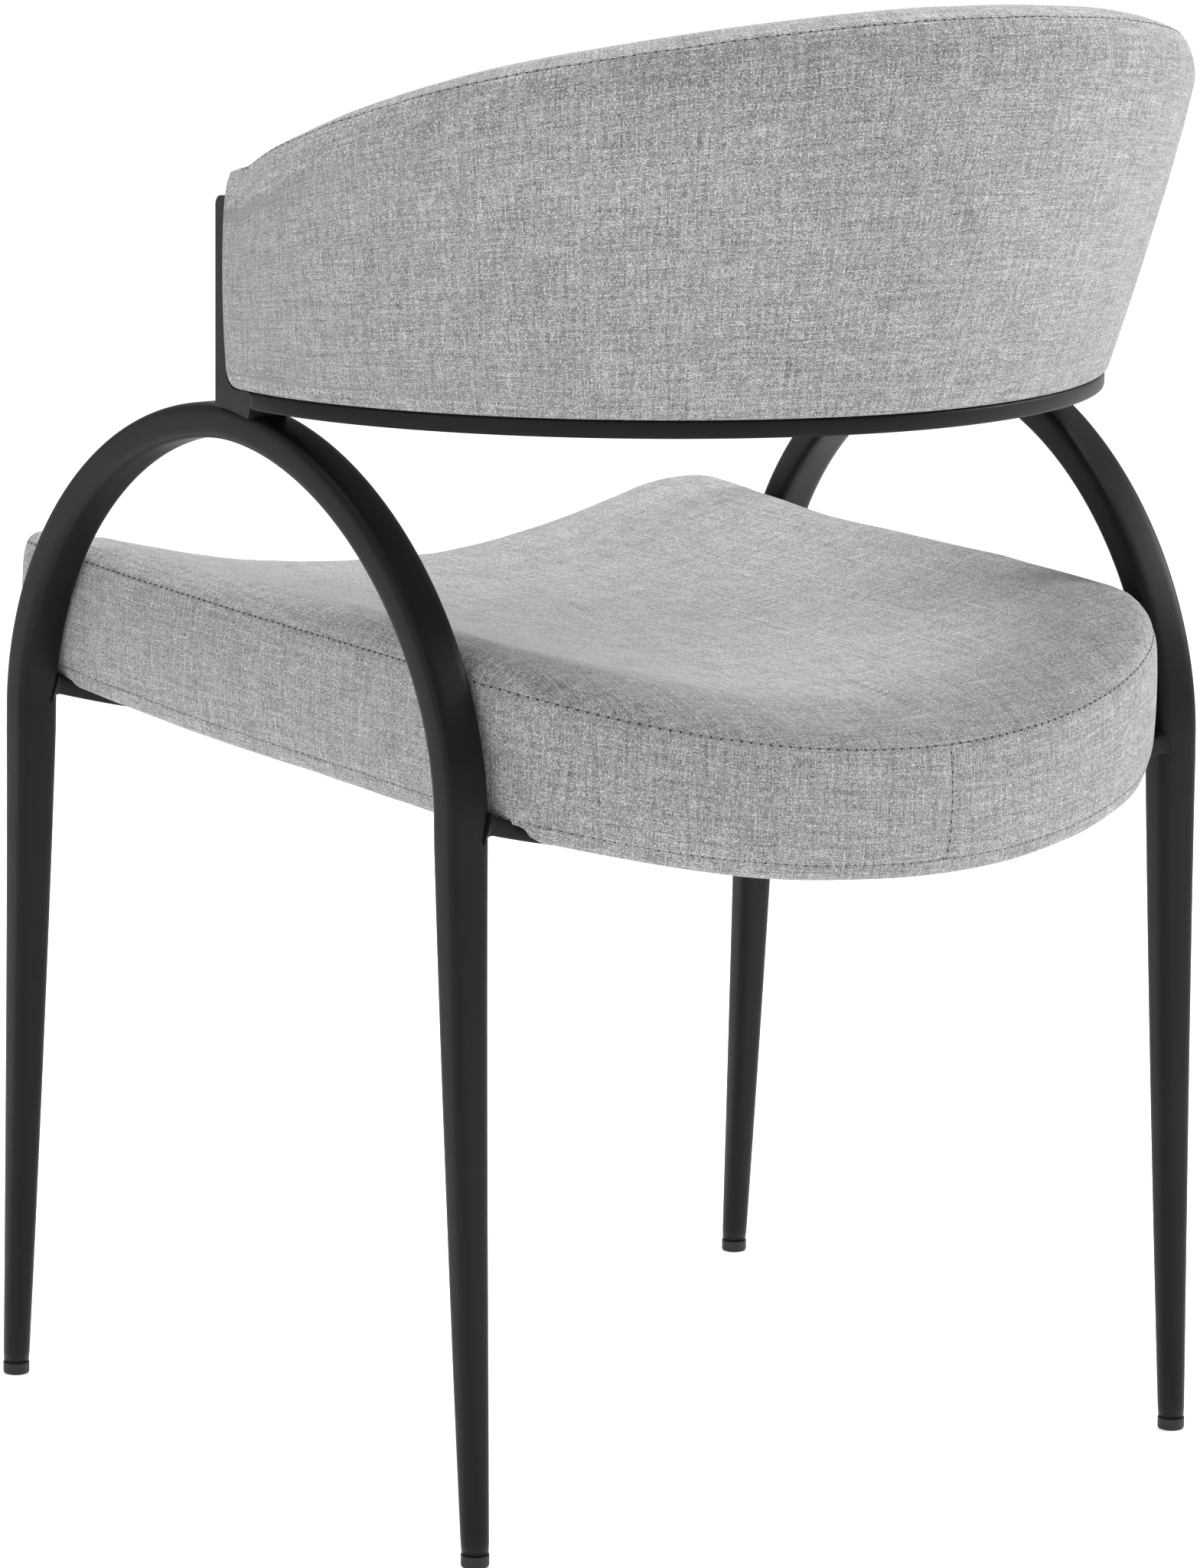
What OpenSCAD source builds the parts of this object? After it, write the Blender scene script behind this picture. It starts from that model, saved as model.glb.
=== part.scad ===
// Dining armchair: two arched steel side frames joined by two curved crossbars,
// a saddle-shaped upholstered seat, and a barrel-shaped upholstered back that
// stands on a bent flat rail. Millimetres. +Z is up, the sitter faces -Y and the
// sitter's left is +X. The origin is on the floor, under the middle of the chair.

/* [Side arches] */
// Half the distance between the two arches, at the origin
arch_x = 252.5; // [248:0.5:262]
// Angle by which each arch turns in towards the rear
toe_in = 2.55; // [2:0.05:3]
// Middle of the arch, along the chair
arch_y = -34; // [-40:1:-26]
// Half the span of the arch where it springs from the legs
arch_half_span = 213; // [208:1:218]
// Height at which the legs turn into the arch
spring_z = 407; // [400:1:415]
// Rise of the arch above the spring height
arch_rise = 192; // [188:1:196]
// Squareness of the arch, where 2 is an ellipse
arch_power = 1.89; // [1.85:0.01:2.1]
// How far the front foot stands out from the spring point
front_splay = 21; // [10:1:30]
// How far the rear foot stands out from the spring point
rear_splay = 18; // [8:1:24]

/* [Leg tube] */
// Width of the tube in the plane of the arch
tube_w = 20; // [18:0.5:22]
// Thickness of the tube across the chair
tube_t = 26; // [24:0.5:28]
// Squareness of the tube's section, where 2 is an ellipse
tube_power = 5; // [4:0.5:6]
// Wall of the tube
tube_wall = 1.5; // [1.2:0.1:2]
// Diameter of the round foot end of each leg
foot_d = 15; // [13:0.5:16]
// Height above which the tube keeps its full size
taper_z = 395; // [380:5:405]

/* [Glides] */
// Height of each foot glide below the tube
glide_h = 7; // [5:1:9]
// Diameter of the plug that holds a glide in its tube
plug_d = 9; // [8:0.5:9.5]
// Length of that plug
plug_l = 18; // [12:1:25]

/* [Crossbars] */
// Height of a crossbar's section
bar_h = 10; // [9:0.5:12]
// Depth of a crossbar's section
bar_d = 18; // [16:1:20]
// Radius of the smile curve, shared by the crossbars and the seat
saddle_r = 895; // [800:5:950]
// Place of the front crossbar along the seat
front_bar_y = -247; // [-253:0.5:-240]
// Place of the rear crossbar along the seat
rear_bar_y = 179; // [172:0.5:186]

/* [Seat] */
// Height of the seat's underside at the middle of the chair
seat_z = 384.2; // [376:0.2:390]
// Slope of the seat, down towards the rear
seat_tilt = 1.2; // [0.8:0.05:2]
// Half the width of the seat at its front corners
seat_front_x = 247; // [240:0.5:249]
// Half the width of the seat where its round rear begins
seat_rear_x = 231.5; // [224:0.5:233]
// Front edge of the seat
seat_front_y = -316.5; // [-325:0.5:-312]
// Radius of the front corners in plan
seat_corner_r = 47; // [30:1:60]
// Where the round rear begins
seat_turn_y = 142; // [132:0.5:150]
// Depth of the round rear
seat_rear_depth = 140; // [130:1:150]
// Height of the lower seam above the underside
low_seam_h = 0.5; // [0:0.5:3]
// Extra height of the lower seam at the front edge
low_seam_rise = 10; // [0:1:14]
// How far the padded edge hangs below the lower seam
hem_drop = 9; // [4:0.5:10]
// Height of the upper seam above the underside
high_seam_h = 64.7; // [60:0.1:72]
// Height of the crown of the cushion above the upper seam
crown_h = 13.5; // [8:0.5:16]
// How much deeper the cushion's top is dished than its underside
top_dish = 5.8; // [0:0.1:10]
// Extra height of the crown along the two sides, towards the rear
crown_wings = 8; // [0:1:10]
// Lift of the front corners
corner_lift = 4; // [0:1:8]
// Thickness of the plywood seat board
board_t = 12; // [10:1:15]
// Thickness of the upholstery cloth with its lining
cloth_t = 1.5; // [1:0.1:2]

/* [Back rail] */
// Height of the rail's underside
rail_z = 610; // [608:0.1:612]
// Height of the rail's section
rail_h = 9.6; // [8:0.1:12]
// Depth of the rail's section
rail_d = 25; // [22:1:26]
// Half the width of the rail
rail_rx = 268; // [262:1:272]
// Depth of the rail's curve
rail_ry = 253.5; // [240:0.5:258]
// Squareness of the rail's curve, where 2 is an ellipse
rail_power = 1.91; // [1.8:0.01:2.1]
// Where the curve begins
rail_y = 2; // [-8:0.5:6]
// Front face of the uprights
upright_y = -33.5; // [-40:0.5:-28]
// Width of an upright along the chair
upright_w = 11.3; // [9:0.1:13]
// Top of the uprights
upright_top = 725; // [700:1:727]

/* [Backrest] */
// Top edge of the backrest at its two front ends
back_end_z = 743; // [730:1:750]
// Top edge of the backrest at the middle of the rear
back_mid_z = 836; // [820:0.5:845]
// Shape of the rise from the ends to the middle
back_rise_power = 1; // [0.8:0.01:1.1]
// Crown of the top edge
back_crown = 4.5; // [2:0.5:10]
// Thickness of the backrest
back_t = 58; // [52:1:64]
// Outward flare at the ends, per unit of height
end_flare = 0.02; // [0:0.001:0.1]
// Outward flare at the middle of the rear, per unit of height
rear_flare = 0.314; // [0.3:0.001:0.38]
// How quickly the flare grows from the ends, where 1 follows the curve's depth
flare_power = 1.75; // [1:0.05:2.5]
// How far the cloth stands out past the rail
back_overhang = 1.5; // [1:0.5:4]
// How far the rear face rolls in at its top seam
back_roll = 12; // [0:1:16]
// How far the rear face swells at half its height
back_swell = 2.5; // [0:0.5:8]
// Width of the boxing strip along the top
top_strip_w = 42; // [36:1:46]

/* [Hidden] */

STEEL = [0.13, 0.135, 0.145];
CLOTH = [0.66, 0.66, 0.67];
FOAM = [0.93, 0.9, 0.75];
PLY = [0.76, 0.6, 0.42];
ZINC = [0.7, 0.71, 0.72];
BLACK = [0.06, 0.06, 0.065];

gap = 0.3;              // clearance between soft layers
leg_steps = 8;
arch_steps = 32;
tube_sides = 16;
leg_ease = 1.2;         // above 1 bends the legs gently out of the arch
seat_steps = 20;        // around the round rear
back_steps = 32;        // around the backrest
rail_steps = 48;

bolt_x = 112;           // seat bolts, either side of the middle
bolt_r = 3;
bolt_head_r = 5.25;
bolt_head_h = 4;
washer_r = 8;
washer_t = 1.6;
nut_r = 4;
nut_flange_r = 9.5;
nut_flange_t = 1.2;
recess_t = 1.5;

FROM_LOW = 0;           // what a height on the backrest's section is measured from
FROM_TOP = 1;
PART = 2;
roll_h = 26;            // height over which the rear face rolls in
end_round = 9;          // radius of the cushion's upper front corners
board_in = 9;           // back board's depth behind the cloth's outer face
back_board_t = 12;
tab_w = 30;
tab_h = 42;
tab_t = 3;
tab_in = 5;             // tab's depth behind the cloth's outer face
tab_angles = [16, 52, 90, 128, 164];
screw_r = 2.2;
screw_head_r = 4.5;
screw_head_h = 2.2;
screw_l = 13;

// ---------- small helpers ----------
function mix(a, b, t) = a + (b - a) * t;
function flat(lists) = [for (l = lists) for (v = l) v];
function flip(l) = [for (i = [len(l) - 1:-1:0]) l[i]];
function signed_pow(v, p) = sign(v) * pow(abs(v), p);
function super_pt(a, rx, ry, p) =
    [rx * signed_pow(cos(a), 2 / p), ry * signed_pow(sin(a), 2 / p)];
function middle(ring) = [for (k = [0:2]) let (s = [for (p = ring) p[k]]) total(s) / len(s)];
function total(v, i = 0) = i < len(v) ? v[i] + total(v, i + 1) : 0;
// How much a rounded corner of radius r takes off at distance e from the edge
function corner_cut(e, r) = e >= r ? 0 : r - sqrt(r * r - pow(r - max(e, 0), 2));

// A solid skinned over rings of equal length. Open lofts get a cap at each end,
// closed ones join the last ring to the first.
module loft(rings, closed = false) {
    n = len(rings[0]);
    m = len(rings);
    sides = [
        for (i = [0:(closed ? m - 1 : m - 2)]) for (j = [0:n - 1])
            let (a = i * n + j, b = i * n + (j + 1) % n, k = (i + 1) % m * n)
            for (f = [[a, k + j, b], [b, k + j, k + (j + 1) % n]]) f
    ];
    last = (m - 1) * n;
    caps = closed ? [] : [
        for (j = [0:n - 1]) let (k = (j + 1) % n)
            for (f = [[m * n, j, k], [m * n + 1, last + k, last + j]]) f
    ];
    ends = closed ? [] : [middle(rings[0]), middle(rings[m - 1])];
    polyhedron(points = concat(flat(rings), ends), faces = concat(sides, caps), convexity = 6);
}

// Puts a piece on the chair's other side
module other_side() {
    mirror([1, 0, 0]) children();
}

// ---------- side arches ----------
function leg_y(end_y, lean, z) = end_y + lean * pow((spring_z - z) / spring_z, leg_ease);
function leg_path(end_y, lean) = [
    for (i = [0:leg_steps - 1]) let (z = mix(glide_h, spring_z, i / leg_steps)) [leg_y(end_y, lean, z), z]
];
arch_path = concat(
    leg_path(arch_y - arch_half_span, -front_splay),
    [for (i = [0:arch_steps]) [arch_y, spring_z]
        + super_pt(180 - 180 * i / arch_steps, arch_half_span, arch_rise, arch_power)],
    flip(leg_path(arch_y + arch_half_span, rear_splay))
);
path_end = len(arch_path) - 1;
// Unit direction of the path; the legs keep level sections so the feet end flat
function path_dir(i) =
    i < leg_steps ? [0, 1] :
    i > path_end - leg_steps ? [0, -1] :
    let (d = arch_path[i + 1] - arch_path[i - 1]) d / norm(d);
function tube_ring(i, shrink) =
    let (c = arch_path[i], d = path_dir(i), k = min(c[1] / taper_z, 1),
         w = mix(foot_d, tube_w, k) / 2 - shrink, t = mix(foot_d, tube_t, k) / 2 - shrink,
         p = mix(2, tube_power, k))
    [for (j = [0:tube_sides - 1]) let (s = super_pt(360 * j / tube_sides, t, w, p))
        [s[0], c[0] - d[1] * s[1], c[1] + d[0] * s[1]]];
// Height of the arch's upper surface
function arch_top(y) =
    let (u = abs(y - arch_y) / arch_half_span)
    spring_z + arch_rise * pow(1 - pow(u, arch_power), 1 / arch_power) + tube_w / 2 + 0.1;

module place_arch() {
    translate([arch_x, 0, 0]) rotate([0, 0, toe_in]) children();
}

module left_arch() {
    color(STEEL) place_arch() loft(concat(
        [for (i = [0:path_end]) tube_ring(i, 0)],
        [for (i = [path_end:-1:0]) tube_ring(i, tube_wall)]
    ), closed = true);
}

module right_arch() {
    other_side() left_arch();
}

// ---------- glides ----------
// A turned foot with a rounded lower edge and a plug that sits in the tube
module glide(y) {
    r = foot_d / 2 + 0.3;
    color(BLACK) place_arch() translate([0, y, 0]) rotate_extrude($fn = 48)
        polygon([[0, 0], [r - 1.5, 0], [r - 0.4, 0.4], [r, 1.5], [r, glide_h],
                 [plug_d / 2, glide_h], [plug_d / 2, glide_h + plug_l], [0, glide_h + plug_l]]);
}
front_glide_y = leg_y(arch_y - arch_half_span, -front_splay, glide_h);
rear_glide_y = leg_y(arch_y + arch_half_span, rear_splay, glide_h);

module front_left_glide() { glide(front_glide_y); }
module front_right_glide() { other_side() glide(front_glide_y); }
module rear_left_glide() { glide(rear_glide_y); }
module rear_right_glide() { other_side() glide(rear_glide_y); }

// ---------- seat frame of reference ----------
// The seat and crossbars share one tilted frame and one saddle curve
module seat_frame() {
    translate([0, 0, seat_z]) rotate([-seat_tilt, 0, 0]) children();
}
// Stands a piece on the saddle curve at x, pointing at the curve's centre
module on_saddle(x) {
    translate([0, 0, saddle_r]) rotate([0, -asin(x / saddle_r), 0])
        translate([0, 0, -saddle_r]) children();
}
function saddle_z(x, lift = 0) = saddle_r - sqrt(pow(saddle_r - lift, 2) - x * x);

// A slab that follows the saddle curve, from one height above it to another
module saddle_slab(from_h, to_h, y0, y1) {
    translate([0, y1, saddle_r]) rotate([90, 0, 0]) linear_extrude(y1 - y0)
        intersection() {
            difference() {
                circle(r = saddle_r - from_h, $fn = 360);
                circle(r = saddle_r - to_h, $fn = 360);
            }
            translate([-300, -saddle_r - 50]) square([600, 200]);
        }
}

module bolt_places() {
    for (y = [front_bar_y, rear_bar_y], side = [-1, 1])
        translate([0, y, 0]) on_saddle(side * bolt_x) children();
}

// ---------- crossbars ----------
module crossbar(y) {
    color(STEEL) difference() {
        intersection() {
            seat_frame() saddle_slab(-bar_h, 0, y - bar_d / 2, y + bar_d / 2);
            translate([0, 0, 300]) linear_extrude(200) between_arches();
        }
        seat_frame() bolt_places() translate([0, 0, -bar_h - 5]) cylinder(r = bolt_r + 0.3, h = bar_h + 10, $fn = 48);
    }
}
// Plan of the space between the two arches
module between_arches() {
    x = arch_x - tube_t / 2 / cos(toe_in);
    dx = 400 * tan(toe_in);
    polygon([[x + dx, -400], [x - dx, 400], [-x + dx, 400], [-x - dx, -400]]);
}
module front_crossbar() { crossbar(front_bar_y); }
module rear_crossbar() { crossbar(rear_bar_y); }

// ---------- seat outline ----------
seat_outline = concat(
    [for (i = [0:seat_steps]) let (a = 180 * i / seat_steps)
        [seat_rear_x * cos(a), seat_turn_y + seat_rear_depth * sin(a)]],
    [for (k = [1:4]) let (t = k / 5) [-side_x(t), side_y(t)]],
    [for (a = [180:18:270]) front_corner(-1, a)],
    [for (k = [1:7]) [mix(-1, 1, k / 8) * (seat_front_x - seat_corner_r), seat_front_y]],
    [for (a = [270:18:360]) front_corner(1, a)],
    [for (k = [4:-1:1]) let (t = k / 5) [side_x(t), side_y(t)]]
);
function side_x(t) = mix(seat_rear_x, seat_front_x, t);
function side_y(t) = mix(seat_turn_y, seat_front_y + seat_corner_r, t);
function front_corner(side, a) = [
    side * (seat_front_x - seat_corner_r) + seat_corner_r * cos(a),
    seat_front_y + seat_corner_r + seat_corner_r * sin(a)
];
seat_n = len(seat_outline);
// Outline moved inwards, point by point
function seat_inset(d) = [
    for (i = [0:seat_n - 1])
        let (t = seat_outline[(i + 1) % seat_n] - seat_outline[(i + seat_n - 1) % seat_n], u = t / norm(t))
        seat_outline[i] + d * [-u[1], u[0]]
];
// Outline drawn in towards the seat's long middle line
function seat_shrunk(d, k) = [for (p = seat_inset(d)) [p[0] * k, p[1] * mix(1, k, 0.6)]];
// Extra height of the front corners
function lift_at(p) = p[1] < 0 ? corner_lift * pow(p[1] / seat_front_y, 2) * pow(abs(p[0]) / seat_front_x, 2) : 0;
// Extra height from the deeper dish of the top
function dish_at(p) = top_dish * pow(p[0] / seat_front_x, 2);
function seat_ring(plan, h, lifted = 1) =
    [for (p = plan) [p[0], p[1], saddle_z(p[0]) + h + lifted * (lift_at(p) + dish_at(p))]];
// Height of the lower seam above the saddle
function low_seam_at(p) = low_seam_h + low_seam_rise * pow(max(-p[1] - 40, 0) / (-seat_front_y - 40), 1.5);
// A ring at part of the way from the lower seam to the upper one, or dz above the lower seam
function band_ring(plan, part, dz = 0) =
    let (low = [for (p = plan) saddle_z(p[0]) + low_seam_at(p) + dz], high = seat_ring(plan, high_seam_h))
    [for (i = [0:len(plan) - 1]) [plan[i][0], plan[i][1], mix(low[i], high[i][2], part)]];

// Ring of the cushion's top, with its height as a part of the crown, less c
function crown_ring(plan, part, c) =
    let (base = seat_ring(plan, high_seam_h - c))
    [for (p = base) p + [0, 0, part * (crown_h + wing_at(p))]];
function wing_at(p) = crown_wings * min(pow(p[0] / seat_rear_x, 2), 1) * max(min((p[1] + 150) / 200, 1), 0);
// Rings of the cushion's top, from the upper seam to the middle, c below the cloth's face
function top_rings(c) = [
    crown_ring(seat_inset(c), 0, 0),
    crown_ring(seat_inset(2.5 + c), 0.3, c / 3),
    crown_ring(seat_inset(8 + c * 0.7), 0.62, c * 0.8),
    crown_ring(seat_inset(19 + c * 0.3), 0.87, c),
    crown_ring(seat_inset(40), 1, c),
    crown_ring(seat_shrunk(40, 0.75), 1, c),
    crown_ring(seat_shrunk(40, 0.5), 1, c),
    crown_ring(seat_shrunk(40, 0.25), 1, c),
    crown_ring(seat_shrunk(40, 0.06), 1, c)
];

// ---------- seat pieces ----------
module seat_board() {
    color(PLY) seat_frame() difference() {
        intersection() {
            saddle_slab(2, 2 + board_t, -400, 400);
            linear_extrude(200) polygon(seat_inset(cloth_t + 2 * gap));
        }
        bolt_places() {
            cylinder(r = nut_r + 0.1, h = 30, $fn = 48);
            translate([0, 0, 2 + board_t - recess_t]) cylinder(r = nut_flange_r + 0.5, h = 10, $fn = 48);
        }
    }
}

module seat_foam() {
    c = cloth_t + gap;
    low = 2 + board_t + gap;
    color(FOAM) seat_frame() loft(concat(
        [for (k = [0.06, 0.25, 0.5, 0.75]) seat_ring(seat_shrunk(40, k), low, 0)],
        [seat_ring(seat_inset(c + gap), low, 0), seat_ring(seat_inset(c + gap - 2), mix(low, high_seam_h, 0.5), 0.5)],
        top_rings(c)
    ));
}

module seat_top_panel() {
    color(CLOTH) seat_frame() loft(concat(flip(top_rings(cloth_t)), top_rings(0)));
}

// Boxing between the two seams, swelling a little at half height
module seat_side_band() {
    levels = [[0, 0], [-2, 0.3], [-2, 0.7], [0, 0.995]];
    rings = [for (v = levels) band_ring(seat_inset(v[0]), v[1])];
    inner = [for (v = levels) band_ring(seat_inset(v[0] + cloth_t), v[1])];
    color(CLOTH) seat_frame() loft(concat(rings, flip(inner)), closed = true);
}

// Padded strip below the lower seam, turned in under the board and pressed flat by the crossbars
module seat_base_strip() {
    inner = concat(
        [band_ring(seat_inset(cloth_t), 0, -gap)],
        [for (d = [cloth_t, 30]) hem_ring(d, 1)]
    );
    outer = concat(
        [band_ring(seat_inset(0), 0, -gap), band_ring(seat_inset(0.8), 0, -2.5)],
        [for (d = [4, 9, 18, 30]) hem_ring(d, 0)]
    );
    color(CLOTH) seat_frame() difference() {
        loft(concat(flip(outer), inner), closed = true);
        for (y = [front_bar_y, rear_bar_y])
            saddle_slab(-30, 0.1, y - bar_d / 2 - 0.5, y + bar_d / 2 + 0.5);
    }
}
// Ring of the hem at depth d, on its rounded underside or on the flat face against the board
function hem_ring(d, upper) =
    let (plan = seat_inset(d), drop = (d < 5 ? 0.85 : d < 10 ? 1 : d < 20 ? 0.75 : 0))
    [for (p = plan) [p[0], p[1], saddle_z(p[0]) + (upper == 1 ? 1.7 : min(0.2, (low_seam_at(p) - hem_drop) * drop))]];

module seat_dust_cover() {
    color(BLACK) seat_frame() difference() {
        intersection() {
            saddle_slab(0.6, 1.4, -400, 400);
            linear_extrude(200) polygon(seat_inset(31));
        }
        bolt_places() cylinder(r = bolt_r + 0.5, h = 30, $fn = 48);
    }
}

module seat_bolts() {
    color(ZINC) seat_frame() bolt_places() {
        translate([0, 0, -bar_h - washer_t - bolt_head_h]) cylinder(r = bolt_head_r, h = bolt_head_h, $fn = 48);
        translate([0, 0, -bar_h - washer_t]) cylinder(r = bolt_r, h = bar_h + washer_t + board_t, $fn = 48);
    }
}

module seat_washers() {
    color(ZINC) seat_frame() bolt_places() translate([0, 0, -bar_h - washer_t]) difference() {
        cylinder(r = washer_r, h = washer_t - 0.05, $fn = 48);
        translate([0, 0, -1]) cylinder(r = bolt_r + 0.2, h = 4, $fn = 48);
    }
}

module seat_tee_nuts() {
    top = 2 + board_t - recess_t + nut_flange_t;
    color(ZINC) seat_frame() bolt_places() difference() {
        union() {
            translate([0, 0, 3]) cylinder(r = nut_r, h = top - 3, $fn = 48);
            translate([0, 0, top - nut_flange_t + 0.05]) cylinder(r = nut_flange_r, h = nut_flange_t - 0.05, $fn = 48);
        }
        translate([0, 0, -1]) cylinder(r = bolt_r + 0.02, h = 30, $fn = 48);
    }
}

// ---------- back rail and uprights ----------
function rail_edge(d) = concat(
    [[rail_rx - d, upright_y + upright_w]],
    [for (i = [0:rail_steps]) let (a = 180 * i / rail_steps) back_curve(a, rail_rx, rail_ry) - d * back_out(a)],
    [[d - rail_rx, upright_y + upright_w]]
);
rail_top = rail_z + rail_h;
fillet_r = 10;
weld_end_y = 6;

// Side view of the weld that fills the wedge between arch and rail
function weld_side() = concat(
    [[upright_y + upright_w, rail_z], [weld_end_y, rail_z]],
    [for (k = [0:5]) let (y = mix(weld_end_y, upright_y + upright_w, k / 5)) [y, min(arch_top(y), rail_z)]]
);

// A piece drawn in side view, standing at the rail's end
module rail_end_piece() {
    translate([rail_rx - rail_d, 0, 0]) rotate([90, 0, 90]) linear_extrude(rail_d) children();
}

module back_rail() {
    color(STEEL) {
        translate([0, 0, rail_z]) linear_extrude(rail_h)
            polygon(concat(rail_edge(0), flip(rail_edge(rail_d))));
        rail_end_piece() polygon(weld_side());
        other_side() rail_end_piece() polygon(weld_side());
    }
}

// Flat bar with a rounded top, a fillet into the rail, and a foot coped to the arch
module left_upright() {
    y0 = upright_y;
    y1 = upright_y + upright_w;
    r = upright_w / 2;
    color(STEEL) rail_end_piece() polygon(concat(
        [[y1, arch_top(y1)], [y1, rail_top], [y1 + fillet_r, rail_top]],
        [for (a = [270:-15:180]) [y1 + fillet_r + fillet_r * cos(a), rail_top + fillet_r + fillet_r * sin(a)]],
        [for (a = [0:15:180]) [y0 + r + r * cos(a), upright_top - r + r * sin(a)]],
        [for (k = [0:4]) let (y = mix(y0, y1 - 0.5, k / 4)) [y, arch_top(y)]]
    ));
}

module right_upright() {
    other_side() left_upright();
}

// ---------- backrest surface ----------
back_low = rail_top + gap;
back_front_y = upright_y + upright_w + gap;
function flare_at(a) = mix(end_flare, rear_flare, 1 - pow(1 - abs(sin(a)), flare_power));
function top_at(a) = mix(back_end_z, back_mid_z, pow(abs(sin(a)), back_rise_power));
function crown_at(d) = back_crown * (1 - pow(abs(2 * d / back_t - 1), 2.5));
// Point on the rail's curve, in plan, and the curve's unit normal there
function back_curve(a, rx, ry) = [0, rail_y] + super_pt(a, rx, ry, rail_power);
function back_out(a) =
    let (t = super_pt(a + 1, rail_rx, rail_ry, rail_power) - super_pt(a - 1, rail_rx, rail_ry, rail_power), u = t / norm(t))
    a < 1 ? [1, 0] : a > 179 ? [-1, 0] : [u[1], -u[0]];
// Point at angle a, depth d inside the outer face, height z. Where front is
// given the point is pulled to the straight front end, cut back round the corners.
function back_pt(a, d, z, front) =
    let (rx = rail_rx + back_overhang, ry = rail_ry + back_overhang,
         up = (z - rail_top) / (top_at(a) - rail_top),
         swell = back_swell * 4 * max(up * (1 - up), 0) * max(1 - d / back_board_t, 0),
         roll = back_roll * pow(max(1 - (top_at(a) - z) / roll_h, 0), 2) * max(1 - d / top_strip_w, 0),
         p = back_curve(a, rx, ry) + back_out(a) * (flare_at(a) * (z - rail_top) + swell - roll - d),
         cut = max(corner_cut(z - back_low, fillet_r + 1), corner_cut(top_at(a) + crown_at(d) - z, end_round)))
    [p[0], is_undef(front) ? p[1] : front + cut, z];
// Section given as [depth, height, origin], with heights from the bottom, from the top or as a part of the whole
function section_pt(a, s, front) =
    back_pt(a, s[0], s[2] == FROM_TOP ? top_at(a) + s[1] : back_low + (s[2] == PART ? s[1] * (top_at(a) - back_low) : s[1]), front);
function back_rings(section, front) = [
    for (i = [-1:back_steps + 1])
        let (a = 180 * min(max(i, 0), back_steps) / back_steps, f = i < 0 || i > back_steps ? front : undef)
        [for (s = section) section_pt(a, s, f)]
];
// A face of a section at depth d, from low to high, split for the rounded ends and the swell
function face_up(d, low, high, swell = false) = concat(
    [for (e = [low, low + 2, low + 5, low + 11]) [d, e, FROM_LOW]],
    [for (e = swell ? [0.5, 0.7] : []) [d, e, PART]],
    [for (e = swell ? [-20, -9, -5, -2, 0] : [-9, -5, -2, 0]) [d, high + e, FROM_TOP]]
);
inner_front_y = back_front_y + cloth_t + gap;

module back_layer(outer_d, inner_d, low, high, swell_out = false, swell_in = false) {
    section = concat(face_up(outer_d, low, high, swell_out), flip(face_up(inner_d, low, high, swell_in)));
    loft(back_rings(section, inner_front_y));
}

// ---------- backrest pieces ----------
module on_back(a) {
    p = back_curve(a, rail_rx + back_overhang, rail_ry + back_overhang);
    n = back_out(a);
    translate([p[0], p[1], rail_top]) rotate([0, 0, atan2(n[1], n[0])])
        rotate([0, atan(flare_at(a)), 0]) children();
}
module screw_places() {
    for (a = tab_angles, side = [-1, 1])
        on_back(a) translate([-tab_in, side * tab_w / 4, tab_h * 0.62]) rotate([0, -90, 0]) children();
}

module back_tabs() {
    color(STEEL) difference() {
        for (a = tab_angles) on_back(a)
            translate([-tab_in - tab_t, -tab_w / 2, -5]) cube([tab_t, tab_w, tab_h + 5]);
        screw_places() translate([0, 0, -1]) cylinder(r = screw_r + 0.2, h = tab_t + 2, $fn = 32);
        translate([-400, -400, rail_z - 50]) cube([800, 800, 50 + rail_h]);
    }
}

module back_screws() {
    color(ZINC) screw_places() {
        translate([0, 0, -screw_head_h]) cylinder(r = screw_head_r, h = screw_head_h, $fn = 32);
        cylinder(r = screw_r, h = screw_l, $fn = 32);
    }
}

module back_board() {
    color(PLY) difference() {
        back_layer(board_in, board_in + back_board_t, 0.2, -18);
        screw_places() cylinder(r = screw_r + 0.05, h = screw_l + 1, $fn = 32);
    }
}

module back_rear_pad() {
    color(FOAM) back_layer(cloth_t + gap, board_in - gap, tab_h + 6, -4, swell_out = true);
}

// Front foam with a lip that covers the board's top edge
module back_foam() {
    front = back_t - cloth_t - gap;
    rear = board_in + back_board_t + gap;
    section = concat(
        [for (e = [2.2, 4, 7, 13]) [rear, e, FROM_LOW]],
        [[rear, -30, FROM_TOP], [rear, -16.5, FROM_TOP], [board_in, -16.5, FROM_TOP], [board_in, -2.5, FROM_TOP],
         [board_in + 8, crown_at(board_in + 8) - 3, FROM_TOP], [back_t / 2, back_crown - 2.2, FROM_TOP],
         [front - 8, crown_at(front - 8) - 3.5, FROM_TOP], [front, -5, FROM_TOP]],
        [for (e = [-12, -20]) [front, e, FROM_TOP]],
        [for (e = [13, 7, 4, 2.2]) [front, e, FROM_LOW]]
    );
    color(FOAM) loft(back_rings(section, inner_front_y));
}

module back_rear_panel() {
    color(CLOTH) back_layer(0, cloth_t, 0, -cloth_t - gap, swell_out = true, swell_in = true);
}

// Boxing strip over the top edge, between its rear and front seams
module back_top_strip() {
    depths = [0, 3, 9, 18, 30, top_strip_w];
    section = concat(
        [for (d = depths) [d, crown_at(d), FROM_TOP]],
        [for (d = flip(depths)) [d, crown_at(d) - cloth_t, FROM_TOP]]
    );
    color(CLOTH) loft(back_rings(section, inner_front_y));
}

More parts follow.
